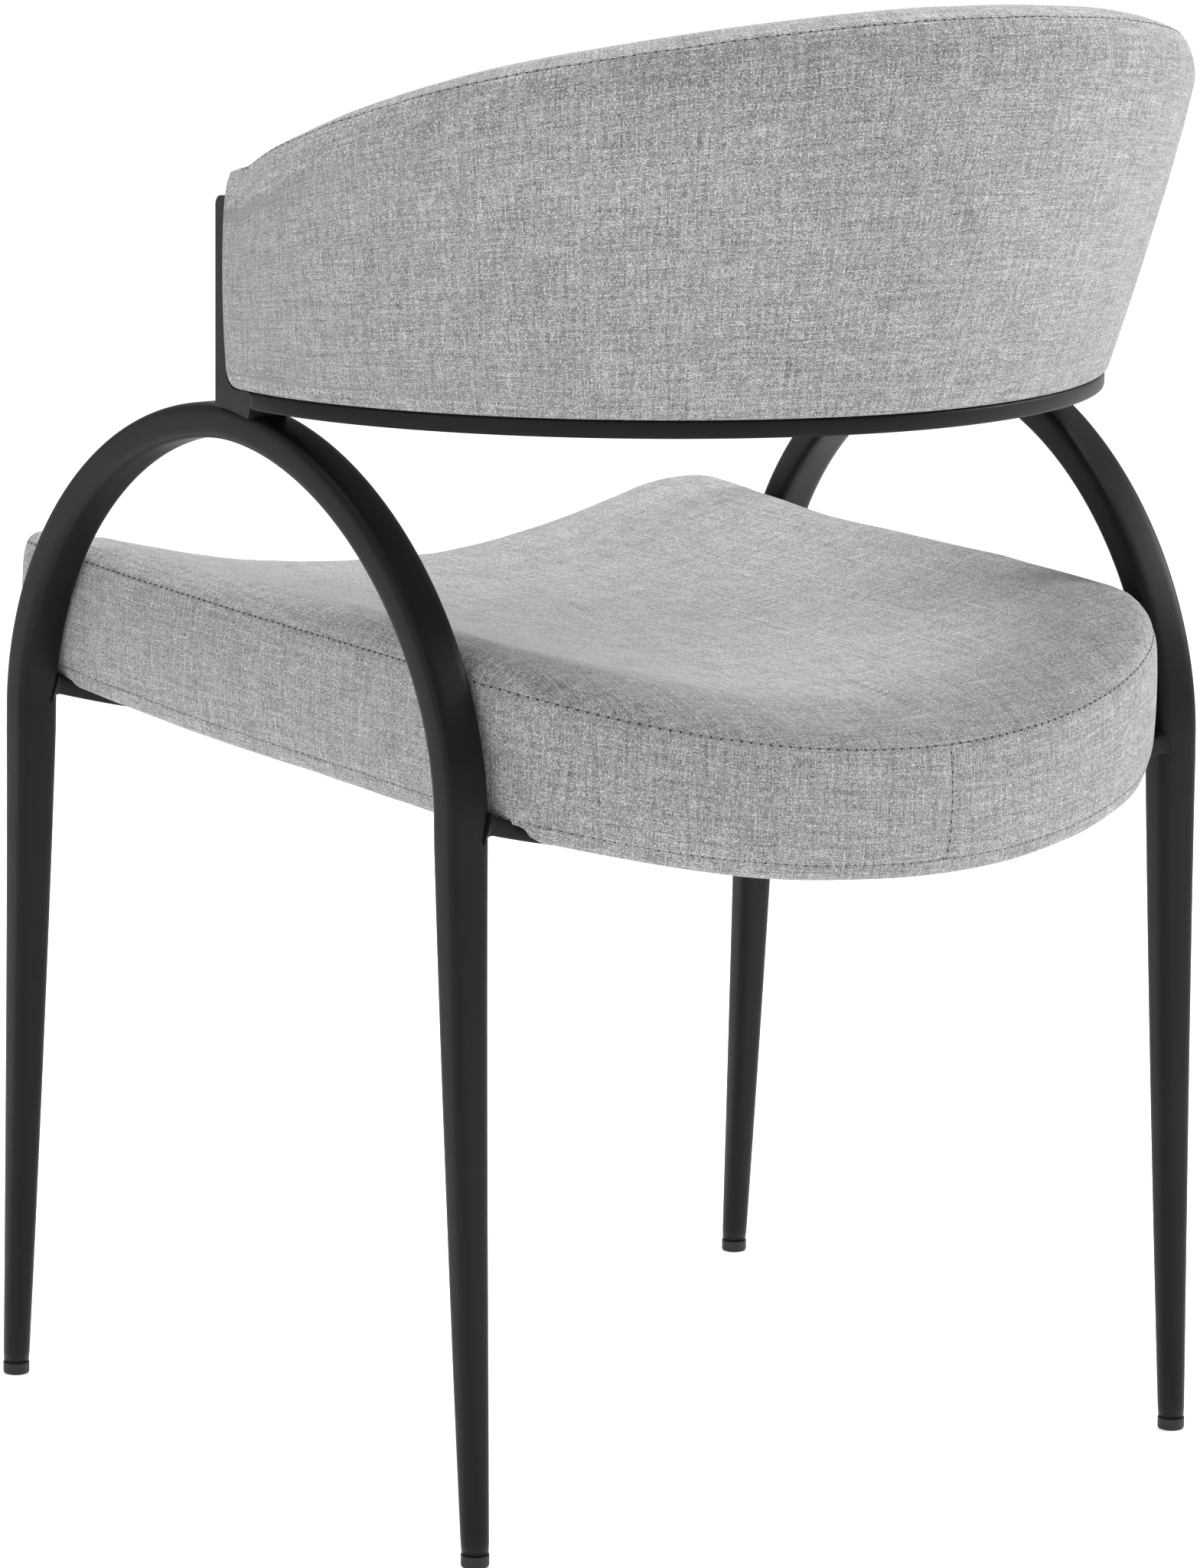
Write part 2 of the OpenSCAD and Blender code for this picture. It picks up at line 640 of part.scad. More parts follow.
// Front face, from the front seam down and in under the cushion to the rail
module back_front_panel() {
    t = back_t;
    c = cloth_t;
    section = concat(
        [[top_strip_w + gap, crown_at(top_strip_w) - 0.1, FROM_TOP], [t - 7, crown_at(t - 7), FROM_TOP], [t - 2, 2, FROM_TOP],
         [t, -5, FROM_TOP], [t, -12, FROM_TOP], [t, 13, FROM_LOW], [t, 5, FROM_LOW], [t - 2, 1, FROM_LOW], [t - 5, 0, FROM_LOW],
         [rail_d + 4, 0, FROM_LOW]],
        [[rail_d + 4, c, FROM_LOW], [t - 5, c, FROM_LOW], [t - 3, 2.2, FROM_LOW], [t - c, 5, FROM_LOW], [t - c, 13, FROM_LOW],
         [t - c, -12, FROM_TOP], [t - c, -5.5, FROM_TOP], [t - 3.6, 0.4, FROM_TOP], [t - 8, crown_at(t - 8) - c, FROM_TOP],
         [top_strip_w + gap, crown_at(top_strip_w) - 0.1 - c, FROM_TOP]]
    );
    color(CLOTH) loft(back_rings(section, inner_front_y));
}

// Closes the cushion's two front ends behind the uprights
module back_end_panels() {
    section = concat(
        [for (e = [0, 2, 5, 11]) [0, e, FROM_LOW]],
        [for (e = [-14, -7, -3, 0]) [0, e, FROM_TOP]],
        [for (d = [4, 12, back_t / 2, back_t - 12, back_t - 4]) [d, crown_at(d), FROM_TOP]],
        [for (e = [0, -3, -7, -14]) [back_t, e, FROM_TOP]],
        [for (e = [11, 5, 2, 0]) [back_t, e, FROM_LOW]]
    );
    ring = function (y) [for (s = section) section_pt(0, s, y)];
    module end_panel() {
        loft([ring(back_front_y), ring(back_front_y + cloth_t)]);
    }
    color(CLOTH) {
        end_panel();
        other_side() end_panel();
    }
}

left_arch();
right_arch();
front_crossbar();
rear_crossbar();
back_rail();
left_upright();
right_upright();
back_tabs();
front_left_glide();
front_right_glide();
rear_left_glide();
rear_right_glide();
seat_board();
seat_foam();
seat_top_panel();
seat_side_band();
seat_base_strip();
seat_dust_cover();
seat_bolts();
seat_washers();
seat_tee_nuts();
back_board();
back_foam();
back_rear_pad();
back_rear_panel();
back_top_strip();
back_front_panel();
back_end_panels();
back_screws();
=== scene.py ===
"""Looks for the dining armchair: smooth frame with welds, sewn and simulated cushions, stitching, studio."""

import math
from types import SimpleNamespace

import bmesh
import bpy
import numpy as np
from mathutils import Matrix, Vector, noise


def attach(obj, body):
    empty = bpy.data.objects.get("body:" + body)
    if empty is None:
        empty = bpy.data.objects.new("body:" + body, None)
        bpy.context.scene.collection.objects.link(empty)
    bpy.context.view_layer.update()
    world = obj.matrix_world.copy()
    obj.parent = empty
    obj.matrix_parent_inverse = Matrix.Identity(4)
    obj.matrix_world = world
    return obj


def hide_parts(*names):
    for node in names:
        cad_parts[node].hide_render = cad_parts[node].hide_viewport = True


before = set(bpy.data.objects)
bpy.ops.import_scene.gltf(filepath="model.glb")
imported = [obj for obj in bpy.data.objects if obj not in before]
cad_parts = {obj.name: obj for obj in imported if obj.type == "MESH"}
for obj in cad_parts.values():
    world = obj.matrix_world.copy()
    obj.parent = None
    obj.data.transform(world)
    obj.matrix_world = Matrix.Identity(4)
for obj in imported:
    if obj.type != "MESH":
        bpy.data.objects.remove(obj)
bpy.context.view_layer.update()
MM = 0.001

# The design's own dimensions in millimetres and degrees, as part.scad has them
d = SimpleNamespace(
    arch_x=252.5, toe_in=2.55, arch_y=-34, arch_half_span=213, spring_z=407, arch_rise=192, arch_power=1.89,
    front_splay=21, rear_splay=18, tube_w=20, tube_t=26, foot_d=15, taper_z=395, tube_power=5, glide_h=7,
    leg_ease=1.2, bar_h=10, bar_d=18, saddle_r=895, front_bar_y=-247, rear_bar_y=179, seat_z=384.2,
    seat_tilt=1.2, seat_front_x=247, seat_rear_x=231.5, seat_front_y=-316.5, seat_corner_r=47, seat_turn_y=142,
    seat_rear_depth=140, low_seam_h=0.5, low_seam_rise=10, hem_drop=9, high_seam_h=64.7, crown_h=13.5,
    top_dish=5.8, crown_wings=8, corner_lift=4, rail_z=610, rail_h=9.6, rail_d=25, rail_rx=268, rail_ry=253.5,
    rail_y=2, rail_power=1.91, upright_y=-33.5, upright_w=11.3, upright_top=725, back_end_z=743, back_mid_z=836,
    back_rise_power=1, back_crown=4.5, back_t=58, end_flare=0.02, rear_flare=0.314, flare_power=1.75,
    back_overhang=1.5, back_swell=2.5, back_roll=12, top_strip_w=42, roll_h=26, fillet_r=10,
)


# ---------------------------------------------------------------- helpers
def sup(a, rx, ry, p):
    """Points of a superellipse at angles a."""
    c, s = np.cos(a), np.sin(a)
    return np.stack([rx * np.sign(c) * np.abs(c) ** (2 / p), ry * np.sign(s) * np.abs(s) ** (2 / p)], -1)


def mix(a, b, t):
    return a + (b - a) * t


def smooth(t):
    t = np.clip(t, 0, 1)
    return t * t * (3 - 2 * t)


def corner_cut(e, r):
    """How far a round corner of radius r stands back at a distance e from its edge."""
    e = np.clip(e, 0, r)
    return r - np.sqrt(np.maximum(r * r - (r - e) ** 2, 0))


def unit(v):
    return v / np.maximum(np.linalg.norm(v, axis=-1, keepdims=True), 1e-9)


def arc_length(p):
    """Distance run along a line of points."""
    return np.concatenate([[0], np.cumsum(np.linalg.norm(np.diff(p, axis=0), axis=1))])


def quarter_round(r, steps=5):
    q = np.linspace(0, np.pi / 2, steps)
    return np.stack([np.cos(q), np.sin(q)], 1) * r


def spline(ctrl, ts):
    """Catmull-Rom through control rows, ts from 0 to len-1."""
    ctrl = np.asarray(ctrl, float)
    n = len(ctrl)
    ts = np.asarray(ts, float)
    k = np.clip(np.floor(ts).astype(int), 0, n - 2)
    f = (ts - k).reshape((-1,) + (1,) * (ctrl.ndim - 1))
    p1, p2 = ctrl[k], ctrl[k + 1]
    p0 = np.where((k > 0).reshape(f.shape), ctrl[np.maximum(k - 1, 0)], 2 * p1 - p2)
    p3 = np.where((k < n - 2).reshape(f.shape), ctrl[np.minimum(k + 2, n - 1)], 2 * p2 - p1)
    square, cube = (2 * p0 - 5 * p1 + 4 * p2 - p3) * f**2, (3 * p1 - p0 - 3 * p2 + p3) * f**3
    return 0.5 * (2 * p1 + (p2 - p0) * f + square + cube)


def linked(name, data):
    o = bpy.data.objects.new(name, data)
    bpy.context.scene.collection.objects.link(o)
    return o


def new_object(name, verts, faces, material, uvs=None):
    """A smooth-shaded mesh piece from vertices in millimetres."""
    me = bpy.data.meshes.new(name)
    me.from_pydata((np.asarray(verts, float) * MM).tolist(), [], [tuple(map(int, f)) for f in faces])
    if uvs is not None:
        layer = me.uv_layers.new(name="weave")
        layer.data.foreach_set("uv", np.asarray(uvs, np.float32).ravel())
    me.validate()
    me.update()
    me.materials.append(material)
    me.polygons.foreach_set("use_smooth", [True] * len(me.polygons))
    return linked(name, me)


def from_bmesh(name, bm, *materials, sharp=None):
    """A smooth-shaded piece from a bmesh in metres; edges turn sharp past an angle in degrees."""
    me = bpy.data.meshes.new(name)
    bm.to_mesh(me)
    bm.free()
    for material in materials:
        me.materials.append(material)
    me.polygons.foreach_set("use_smooth", [True] * len(me.polygons))
    if sharp is not None:
        me.set_sharp_from_angle(angle=math.radians(sharp))
    return linked(name, me)


def grid_faces(m, n):
    """Quads over m rings of n points, and the unwrapped ring and column of each quad's corners."""
    I, J = np.meshgrid(np.arange(m - 1), np.arange(n), indexing="ij")
    I, J = I.ravel(), J.ravel()
    ci = np.stack([I, I + 1, I + 1, I], 1)
    cj = np.stack([J, J, J + 1, J + 1], 1)
    return (ci % m) * n + (cj % n), ci, cj


def with_ends(P):
    """All points of a net, then the middle of its first and of its last ring."""
    return np.concatenate([P.reshape(-1, 3), [P[0].mean(0), P[-1].mean(0)]])


def end_fans(m, n):
    """Triangles that close a net on the two points that with_ends adds."""
    fans = []
    for j in range(n):
        k = (j + 1) % n
        fans += [[m * n, k, j], [m * n + 1, (m - 1) * n + j, (m - 1) * n + k]]
    return fans


def outward(o):
    """Turns the faces outwards, keeping each corner's place on the weave."""
    bm = bmesh.new()
    bm.from_mesh(o.data)
    bmesh.ops.recalc_face_normals(bm, faces=bm.faces)
    bm.to_mesh(o.data)
    bm.free()
    return o


def capped(name, P, material):
    """A closed piece from rings of points (m x n x 3), with a flat lid at each end."""
    m, n = P.shape[:2]
    lids = [list(range(n)), [(m - 1) * n + i for i in range(n)]]
    return outward(new_object(name, P.reshape(-1, 3), list(grid_faces(m, n)[0]) + lids, material))


def mirrored(o, name):
    """The same piece on the chair's other side."""
    me = o.data.copy()
    me.name = name
    me.transform(Matrix.Scale(-1, 4, (1, 0, 0)))
    me.flip_normals()
    return linked(name, me)


# ---------------------------------------------------------------- materials
class Tree:
    """Short hand for building a node tree."""

    def __init__(self, name):
        self.mat = bpy.data.materials.new(name)
        self.mat.use_nodes = True
        self.nt = self.mat.node_tree
        self.nt.nodes.clear()
        self.out = self.nt.nodes.new("ShaderNodeOutputMaterial")
        self.bsdf = self.nt.nodes.new("ShaderNodeBsdfPrincipled")
        self.nt.links.new(self.bsdf.outputs[0], self.out.inputs[0])

    def node(self, kind, inputs=None, **props):
        n = self.nt.nodes.new("ShaderNode" + kind)
        for k, v in props.items():
            setattr(n, k, v)
        for k, v in (inputs or {}).items():
            if isinstance(v, bpy.types.NodeSocket):
                self.nt.links.new(v, n.inputs[k])
            else:
                n.inputs[k].default_value = v
        return n

    def place(self):
        return self.node("TexCoord").outputs["Object"]

    def math(self, op, a, b=0.0, c=0.0, clamp=False):
        n = self.node("Math", {0: a, 1: b, 2: c}, operation=op)
        n.use_clamp = clamp
        return n.outputs[0]

    def noise(self, vector, scale, detail=2.0, rough=0.5):
        n = self.node("TexNoise", {"Vector": vector, "Scale": scale, "Detail": detail, "Roughness": rough})
        return n.outputs["Fac"]

    def ramp(self, fac, stops):
        n = self.node("ValToRGB", {0: fac})
        r = n.color_ramp
        while len(r.elements) > len(stops):
            r.elements.remove(r.elements[-1])
        while len(r.elements) < len(stops):
            r.elements.new(0.5)
        for e, (p, c) in zip(r.elements, stops):
            e.position = p
            e.color = (*c, 1)
        return n.outputs[0]

    def set(self, **values):
        for k, v in values.items():
            name = k.replace("_", " ")
            if isinstance(v, bpy.types.NodeSocket):
                self.nt.links.new(v, self.bsdf.inputs[name])
            else:
                self.bsdf.inputs[name].default_value = v

    def bump(self, height, strength, distance, below=None):
        n = self.node("Bump", {"Strength": strength, "Distance": distance, "Height": height})
        if below is not None:
            self.nt.links.new(below, n.inputs["Normal"])
        return n.outputs[0]


THREAD_PITCH = 0.00098  # metres from one thread of the weave to the next
CLOTH_TONE = 0.91
# How dark and pale the threads are, from the darkest to the palest
CLOTH_SHADES = (
    (0.35, (0.095, 0.098, 0.110)),
    (0.44, (0.245, 0.247, 0.260)),
    (0.52, (0.405, 0.405, 0.408)),
    (0.63, (0.760, 0.756, 0.745)),
)


def cloth_material(name):
    """Heathered plain weave: every thread has its own shade that drifts along its length."""
    t = Tree(name)
    uv = t.node("UVMap", uv_map="weave").outputs[0]

    def wobble(scale, detail, reach):
        color = t.node("TexNoise", {"Vector": uv, "Scale": scale, "Detail": detail}).outputs["Color"]
        centred = t.node("VectorMath", {0: color, 1: (0.5, 0.5, 0.5)}, operation="SUBTRACT").outputs[0]
        shift = t.node("VectorMath", {0: centred}, operation="SCALE")
        shift.inputs["Scale"].default_value = reach
        return shift.outputs[0]

    def added(a, b):
        return t.node("VectorMath", {0: a, 1: b}, operation="ADD").outputs[0]

    pos = added(added(uv, wobble(160.0, 2.0, 0.0011)), wobble(820.0, 1.0, 0.0014))
    sep = t.node("SeparateXYZ", {0: pos})
    nu = t.math("DIVIDE", sep.outputs[0], THREAD_PITCH)
    nv = t.math("DIVIDE", sep.outputs[1], THREAD_PITCH)
    iu, iv = t.math("FLOOR", nu), t.math("FLOOR", nv)

    def profile(x, i):
        """A thread's height across its width."""
        f = t.math("SUBTRACT", x, i)
        g = t.math("ABSOLUTE", t.math("MULTIPLY_ADD", f, 2.0, -1.0))
        return t.math("SUBTRACT", 1.0, t.math("POWER", g, 2.4))

    def wave(x, i, flip):
        """A thread's height along its length, over one thread and under the next."""
        a = t.math("MULTIPLY", t.math("ADD", t.math("SUBTRACT", x, 0.5), i), math.pi)
        c = t.math("COSINE", a)
        return t.math("MULTIPLY_ADD", c, -0.5 if flip else 0.5, 0.5)

    def drift(i, along, step, rate, seed):
        at = {0: t.math("MULTIPLY", i, step), 1: t.math("MULTIPLY", along, rate), 2: seed}
        return t.noise(t.node("CombineXYZ", at).outputs[0], 1.0, 1.0)

    def thread(i, along, seed):
        """A thread's own shade: a slow drift over many crossings and a quick one over a few."""
        slow, quick = drift(i, along, 7.31, 0.034, seed), drift(i, along, 3.17, 0.36, seed + 9)
        return t.math("MULTIPLY_ADD", quick, 0.53, t.math("MULTIPLY", slow, 0.47))

    warp_h = t.math("MULTIPLY", profile(nu, iu), wave(nv, iu, False))
    weft_h = t.math("MULTIPLY", profile(nv, iv), wave(nu, iv, True))
    over = t.math("GREATER_THAN", warp_h, weft_h)
    height = t.math("MAXIMUM", warp_h, weft_h)
    shades = {0: over, 2: thread(iv, nu, 3.0), 3: thread(iu, nv, 40.0)}
    shade = t.node("Mix", shades, data_type="FLOAT").outputs[0]
    fleck = t.noise(uv, 1050.0, 2.0, 0.7)
    patch = t.noise(uv, 9.0, 3.0, 0.6)
    tone = t.math("ADD", t.math("MULTIPLY", shade, 0.66), t.math("MULTIPLY", fleck, 0.34))
    # thread crowns are painted lighter and the gaps between threads darker: painted shade between the threads
    tone = t.math("ADD", tone, t.math("MULTIPLY_ADD", height, 0.17, -0.1))
    tone = t.math("ADD", tone, t.math("MULTIPLY_ADD", patch, 0.03, -0.015))
    color = t.ramp(tone, [(at, tuple(CLOTH_TONE * c for c in rgb)) for at, rgb in CLOTH_SHADES])
    fuzz = t.noise(uv, 2600.0, 2.0, 0.6)
    fibres = t.bump(fuzz, 0.25, 0.0003)
    threads = t.bump(height, 0.75, 0.0005, fibres)
    t.set(Base_Color=color, Roughness=0.92, Normal=t.bump(patch, 0.25, 0.003, threads), Sheen_Weight=0.22,
          Sheen_Roughness=0.45, Specular_IOR_Level=0.18)
    return t.mat


def steel_material():
    """Black powder coat: fine orange peel, soft sheen, and a painted highlight along the pointed edges."""
    t = Tree("black_powder_coat")
    co = t.place()
    pointed = t.node("NewGeometry").outputs["Pointiness"]
    # pointed edges are mixed towards a lighter grey, broken up by noise: a painted highlight along the tube
    # edges
    edge = t.math("MULTIPLY_ADD", pointed, 9.0, -4.55, clamp=True)
    painted_edge_highlight = t.math("MULTIPLY", edge, t.noise(co, 60.0, 3.0, 0.6), clamp=True)
    broad = t.noise(co, 14.0, 3.0, 0.55)
    base = t.ramp(broad, [(0.3, (0.0052, 0.0057, 0.0070)), (0.7, (0.0070, 0.0076, 0.0091))])
    # the lighter grey mixed in here is the painted edge highlight
    color = t.node("Mix", {0: painted_edge_highlight, 6: base, 7: (0.022, 0.023, 0.026, 1)}, data_type="RGBA").outputs[2]
    rough = t.math("MULTIPLY_ADD", t.noise(co, 40.0, 2.0), 0.14, 0.36)
    grit = t.bump(t.noise(co, 3800.0, 1.0, 0.5), 0.10, 0.0001)
    peel = t.bump(t.noise(co, 900.0, 2.0, 0.5), 0.22, 0.00025, grit)
    t.set(Base_Color=color, Roughness=rough, Normal=peel, Specular_IOR_Level=0.15, Coat_Weight=0.02,
          Coat_Roughness=0.45)
    return t.mat


def plastic_material(name, color, rough):
    t = Tree(name)
    n = t.noise(t.place(), 400.0, 3.0, 0.6)
    c = t.ramp(n, [(0.3, tuple(0.8 * x for x in color)), (0.7, tuple(1.2 * x for x in color))])
    t.set(Base_Color=c, Roughness=t.math("MULTIPLY_ADD", n, 0.2, rough), Normal=t.bump(n, 0.15, 0.0002))
    return t.mat


def zinc_material():
    t = Tree("zinc_plate")
    n = t.noise(t.place(), 260.0, 4.0, 0.6)
    c = t.ramp(n, [(0.3, (0.46, 0.47, 0.5)), (0.7, (0.62, 0.63, 0.64))])
    rough = t.math("MULTIPLY_ADD", n, 0.25, 0.28)
    t.set(Base_Color=c, Metallic=1.0, Roughness=rough, Normal=t.bump(n, 0.2, 0.0001))
    return t.mat


def wood_material():
    t = Tree("bent_plywood")
    grain = t.node("Mapping", {0: t.place()}, vector_type="POINT")
    grain.inputs["Scale"].default_value = (60, 4, 500)
    n = t.noise(grain.outputs[0], 1.0, 4.0, 0.6)
    c = t.ramp(n, [(0.3, (0.42, 0.27, 0.14)), (0.7, (0.66, 0.48, 0.30))])
    t.set(Base_Color=c, Roughness=0.6, Normal=t.bump(n, 0.2, 0.0003))
    return t.mat


def thread_material(name, dark, pale):
    t = Tree(name)
    n = t.noise(t.place(), 1500.0, 2.0)
    t.set(Base_Color=t.ramp(n, [(0.3, dark), (0.7, pale)]), Roughness=0.85, Normal=t.bump(n, 0.3, 0.0001))
    return t.mat


CLOTH = cloth_material("grey_heather_cloth")
DUST = plastic_material("dust_cloth", (0.018, 0.018, 0.02), 0.8)
STEEL = steel_material()
GLIDE = plastic_material("glide_plastic", (0.007, 0.007, 0.008), 0.5)
ZINC = zinc_material()
WOOD = wood_material()
THREAD = thread_material("sewing_thread", (0.19, 0.19, 0.197), (0.31, 0.31, 0.317))
# near-black beads at the needle holes: painted shade standing in for the shade inside each hole
NEEDLE_HOLE_SHADE = thread_material("needle_hole_shade", (0.012, 0.012, 0.014), (0.03, 0.03, 0.034))


def kept(node, material):
    """A CAD node that is shown as it is, with its own material."""
    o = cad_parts[node]
    o.data.materials.clear()
    o.data.materials.append(material)
    return o


# ---------------------------------------------------------------- side arches
def arch_path():
    """The tube's centre line in its own plane, from the front foot over the arch to the rear foot."""
    z = np.linspace(d.glide_h, d.spring_z, 60)[:-1]
    ease = ((d.spring_z - z) / d.spring_z) ** d.leg_ease
    front = np.stack([d.arch_y - d.arch_half_span - d.front_splay * ease, z], 1)
    rear = np.stack([d.arch_y + d.arch_half_span + d.rear_splay * ease, z], 1)[::-1]
    a = np.radians(np.linspace(180, 0, 141))
    top = sup(a, d.arch_half_span, d.arch_rise, d.arch_power) + [d.arch_y, d.spring_z]
    return np.concatenate([front, top, rear])


def place_arch(p):
    t = math.radians(d.toe_in)
    x, y = p[..., 0], p[..., 1]
    c, s = math.cos(t), math.sin(t)
    return np.stack([d.arch_x + x * c - y * s, x * s + y * c, p[..., 2]], -1)


def build_arch():
    path = arch_path()
    tang = np.gradient(path, axis=0)
    tang /= np.linalg.norm(tang, axis=1)[:, None]
    # low on the legs the sections lie level, and higher up they turn with the tube
    level = np.where(np.arange(len(path)) < len(path) / 2, 1.0, -1.0)
    k = smooth((path[:, 1] - 60) / 200)[:, None]
    tang = tang * k + np.stack([0 * level, level], 1) * (1 - k)
    tang /= np.linalg.norm(tang, axis=1)[:, None]
    s = np.linspace(0, 2 * np.pi, 48, endpoint=False)
    rings = []
    for c, t in zip(path, tang):
        f = min(c[1] / d.taper_z, 1)
        sec = sup(s, mix(d.foot_d, d.tube_t, f) / 2, mix(d.foot_d, d.tube_w, f) / 2, mix(2, d.tube_power, f))
        rings.append(np.stack([sec[:, 0], c[0] - t[1] * sec[:, 1], c[1] + t[0] * sec[:, 1]], 1))
    P = np.array(rings)
    # the end of each foot is drawn in a little above its glide
    for end in (0, -1):
        P[end] = mix(P[end].mean(0), P[end], 0.965)
    return capped("arch_tube_left", place_arch(P), STEEL)


def arch_top(y):
    u = np.abs(y - d.arch_y) / d.arch_half_span
    return d.spring_z + d.arch_rise * (1 - u**d.arch_power) ** (1 / d.arch_power) + d.tube_w / 2


left_arch = build_arch()
right_arch = mirrored(left_arch, "arch_tube_right")
for o, n in ((left_arch, "left_arch"), (right_arch, "right_arch")):
    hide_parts(n)
    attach(o, "root")

for n in ("front_left_glide", "front_right_glide", "rear_left_glide", "rear_right_glide"):
    g = kept(n, GLIDE)
    bev = g.modifiers.new("edge", "BEVEL")
    bev.width = 0.0004
    bev.segments = 2
    bev.limit_method = "ANGLE"


# ---------------------------------------------------------------- seat frame of reference
def to_chair(p):
    """From the seat's tilted frame to the chair's."""
    t = math.radians(d.seat_tilt)
    x, y, z = p[..., 0], p[..., 1], p[..., 2]
    return np.stack([x, y * math.cos(t) + z * math.sin(t), d.seat_z - y * math.sin(t) + z * math.cos(t)], -1)


def saddle(x):
    """Height of the seat board's curved underside."""
    return d.saddle_r - np.sqrt(d.saddle_r**2 - x * x)


# ---------------------------------------------------------------- crossbars
BAR_R = 1.6
BAR_WELD = 6.0


def build_crossbar(name, y):
    """A flat bar bent to the saddle's curve, growing into a weld at each arch."""
    t = math.radians(d.toe_in)
    end = d.arch_x - d.tube_t / 2 / math.cos(t) - y * math.tan(t) + 0.8
    e = np.concatenate([[0, 0.5, 1, 1.6, 2.3, 3.2, 4.3, 5.6, 7, 9], np.linspace(14, end, 26)])
    x = np.concatenate([-(end - e), (end - e)[::-1][1:]])
    edge = np.minimum(x + end, end - x)
    grow = np.where(edge < BAR_WELD, corner_cut(edge, BAR_WELD), 0)
    corner = quarter_round(BAR_R)
    rings = []
    for xi, g in zip(x, grow):
        w, lo, hi = d.bar_d / 2 + g * 0.25, -d.bar_h - g, g * 0.3
        pts = []
        for sx, sz in ((1, 1), (-1, 1), (-1, -1), (1, -1)):
            cx, cz = sx * (w - BAR_R), (hi - BAR_R) if sz > 0 else (lo + BAR_R)
            pts += [(cx + sx * q[0], cz + sz * q[1]) for q in (corner if sx * sz > 0 else corner[::-1])]
        ang = math.asin(xi / d.saddle_r)
        rings.append([((d.saddle_r - h) * math.sin(ang), y + v, d.saddle_r - (d.saddle_r - h) * math.cos(ang))
                      for v, h in pts])
    return capped(name, to_chair(np.array(rings)), STEEL)


for name, y, node in (
    ("front_bar", d.front_bar_y, "front_crossbar"),
    ("rear_bar", d.rear_bar_y, "rear_crossbar"),
):
    bar = build_crossbar(name, y)
    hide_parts(node)
    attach(bar, "root")


# ---------------------------------------------------------------- back rail and uprights
RAIL_TOP = d.rail_z + d.rail_h
RAIL_R = 1.5
TURN = 0.017  # half the angle over which a direction along the rail is measured


def rail_curve(a, rx, ry):
    return sup(a, rx, ry, d.rail_power) + [0, d.rail_y]


def rail_out(a):
    """Unit vectors pointing out of the rail's curve, in plan."""
    a = np.atleast_1d(a)
    t = sup(a + TURN, d.rail_rx, d.rail_ry, d.rail_power) - sup(a - TURN, d.rail_rx, d.rail_ry, d.rail_power)
    t /= np.linalg.norm(t, axis=-1)[..., None]
    n = np.stack([t[..., 1], -t[..., 0]], -1)
    n[a < TURN] = (1, 0)
    n[a > np.pi - TURN] = (-1, 0)
    return n


def build_rail():
    a = np.linspace(0, np.pi, 181)
    c, n = rail_curve(a, d.rail_rx, d.rail_ry), rail_out(a)
    corner = quarter_round(RAIL_R)
    w, h = d.rail_d / 2 - RAIL_R, d.rail_h / 2 - RAIL_R
    pts = []
    for sx, sz in ((1, 1), (-1, 1), (-1, -1), (1, -1)):
        pts += [(sx * (w + p[0]) - d.rail_d / 2, d.rail_z + d.rail_h / 2 + sz * (h + p[1]))
                for p in (corner if sx * sz > 0 else corner[::-1])]
    pts = np.array(pts)
    P = np.zeros((len(a), len(pts), 3))
    P[..., :2] = c[:, None] + n[:, None] * pts[None, :, :1]
    P[..., 2] = pts[None, :, 1]
    return capped("back_rail_bar", P, STEEL)


def build_upright():
    """Upright, its fillet, the rail's straight end and the weld down onto the arch, as one rounded plate."""
    y0, y1 = d.upright_y, d.upright_y + d.upright_w
    r, f = d.upright_w / 2, d.fillet_r
    end, weld_y = d.rail_y + 0.6, 9

    def turn(y, z, radius, *angles):
        return [(y + radius * math.cos(a), z + radius * math.sin(a)) for a in np.radians(np.linspace(*angles))]

    side = [(end, RAIL_TOP)] + turn(y1 + f, RAIL_TOP + f, f, 270, 180, 11)
    side += turn(y0 + r, d.upright_top - r, r, 0, 180, 17)
    side += [(y, float(min(arch_top(y), d.rail_z + 0.2)) - 0.8)
             for y in np.linspace(y0, weld_y, 22)[:-1] if y <= end]
    side += [(min(weld_y, end), d.rail_z), (end, d.rail_z)]
    bm = bmesh.new()
    front, back = ([bm.verts.new((x * MM, y * MM, z * MM)) for y, z in side]
                   for x in (d.rail_rx, d.rail_rx - d.rail_d))
    bm.faces.new(front)
    bm.faces.new(back[::-1])
    n = len(side)
    for i in range(n):
        j = (i + 1) % n
        bm.faces.new([front[j], front[i], back[i], back[j]])
    bmesh.ops.recalc_face_normals(bm, faces=bm.faces)
    at_end = (end - 0.1) * MM
    rim = [e for e in bm.edges if abs(e.verts[0].co.x - e.verts[1].co.x) < 1e-7
           and not (e.verts[0].co.y > at_end and e.verts[1].co.y > at_end)]
    bmesh.ops.bevel(bm, geom=rim, offset=0.0013, segments=3, profile=0.5, affect="EDGES", clamp_overlap=True)
    return from_bmesh("upright_left", bm, STEEL, sharp=38)


rail = build_rail()
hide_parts("back_rail")
left_up = build_upright()
right_up = mirrored(left_up, "upright_right")
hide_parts("left_upright")
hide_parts("right_upright")
for o in (rail, left_up, right_up):
    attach(o, "root")


# ---------------------------------------------------------------- cloth simulation
CLOTH_FRAMES = 20
CLOTH_SETTINGS = dict(
    quality=6, mass=0.25, tension_stiffness=22, compression_stiffness=22, shear_stiffness=8,
    bending_stiffness=1.2, tension_damping=8, compression_damping=8, shear_damping=8,
    use_pressure=True, vertex_group_mass="pin", pin_stiffness=5,
)


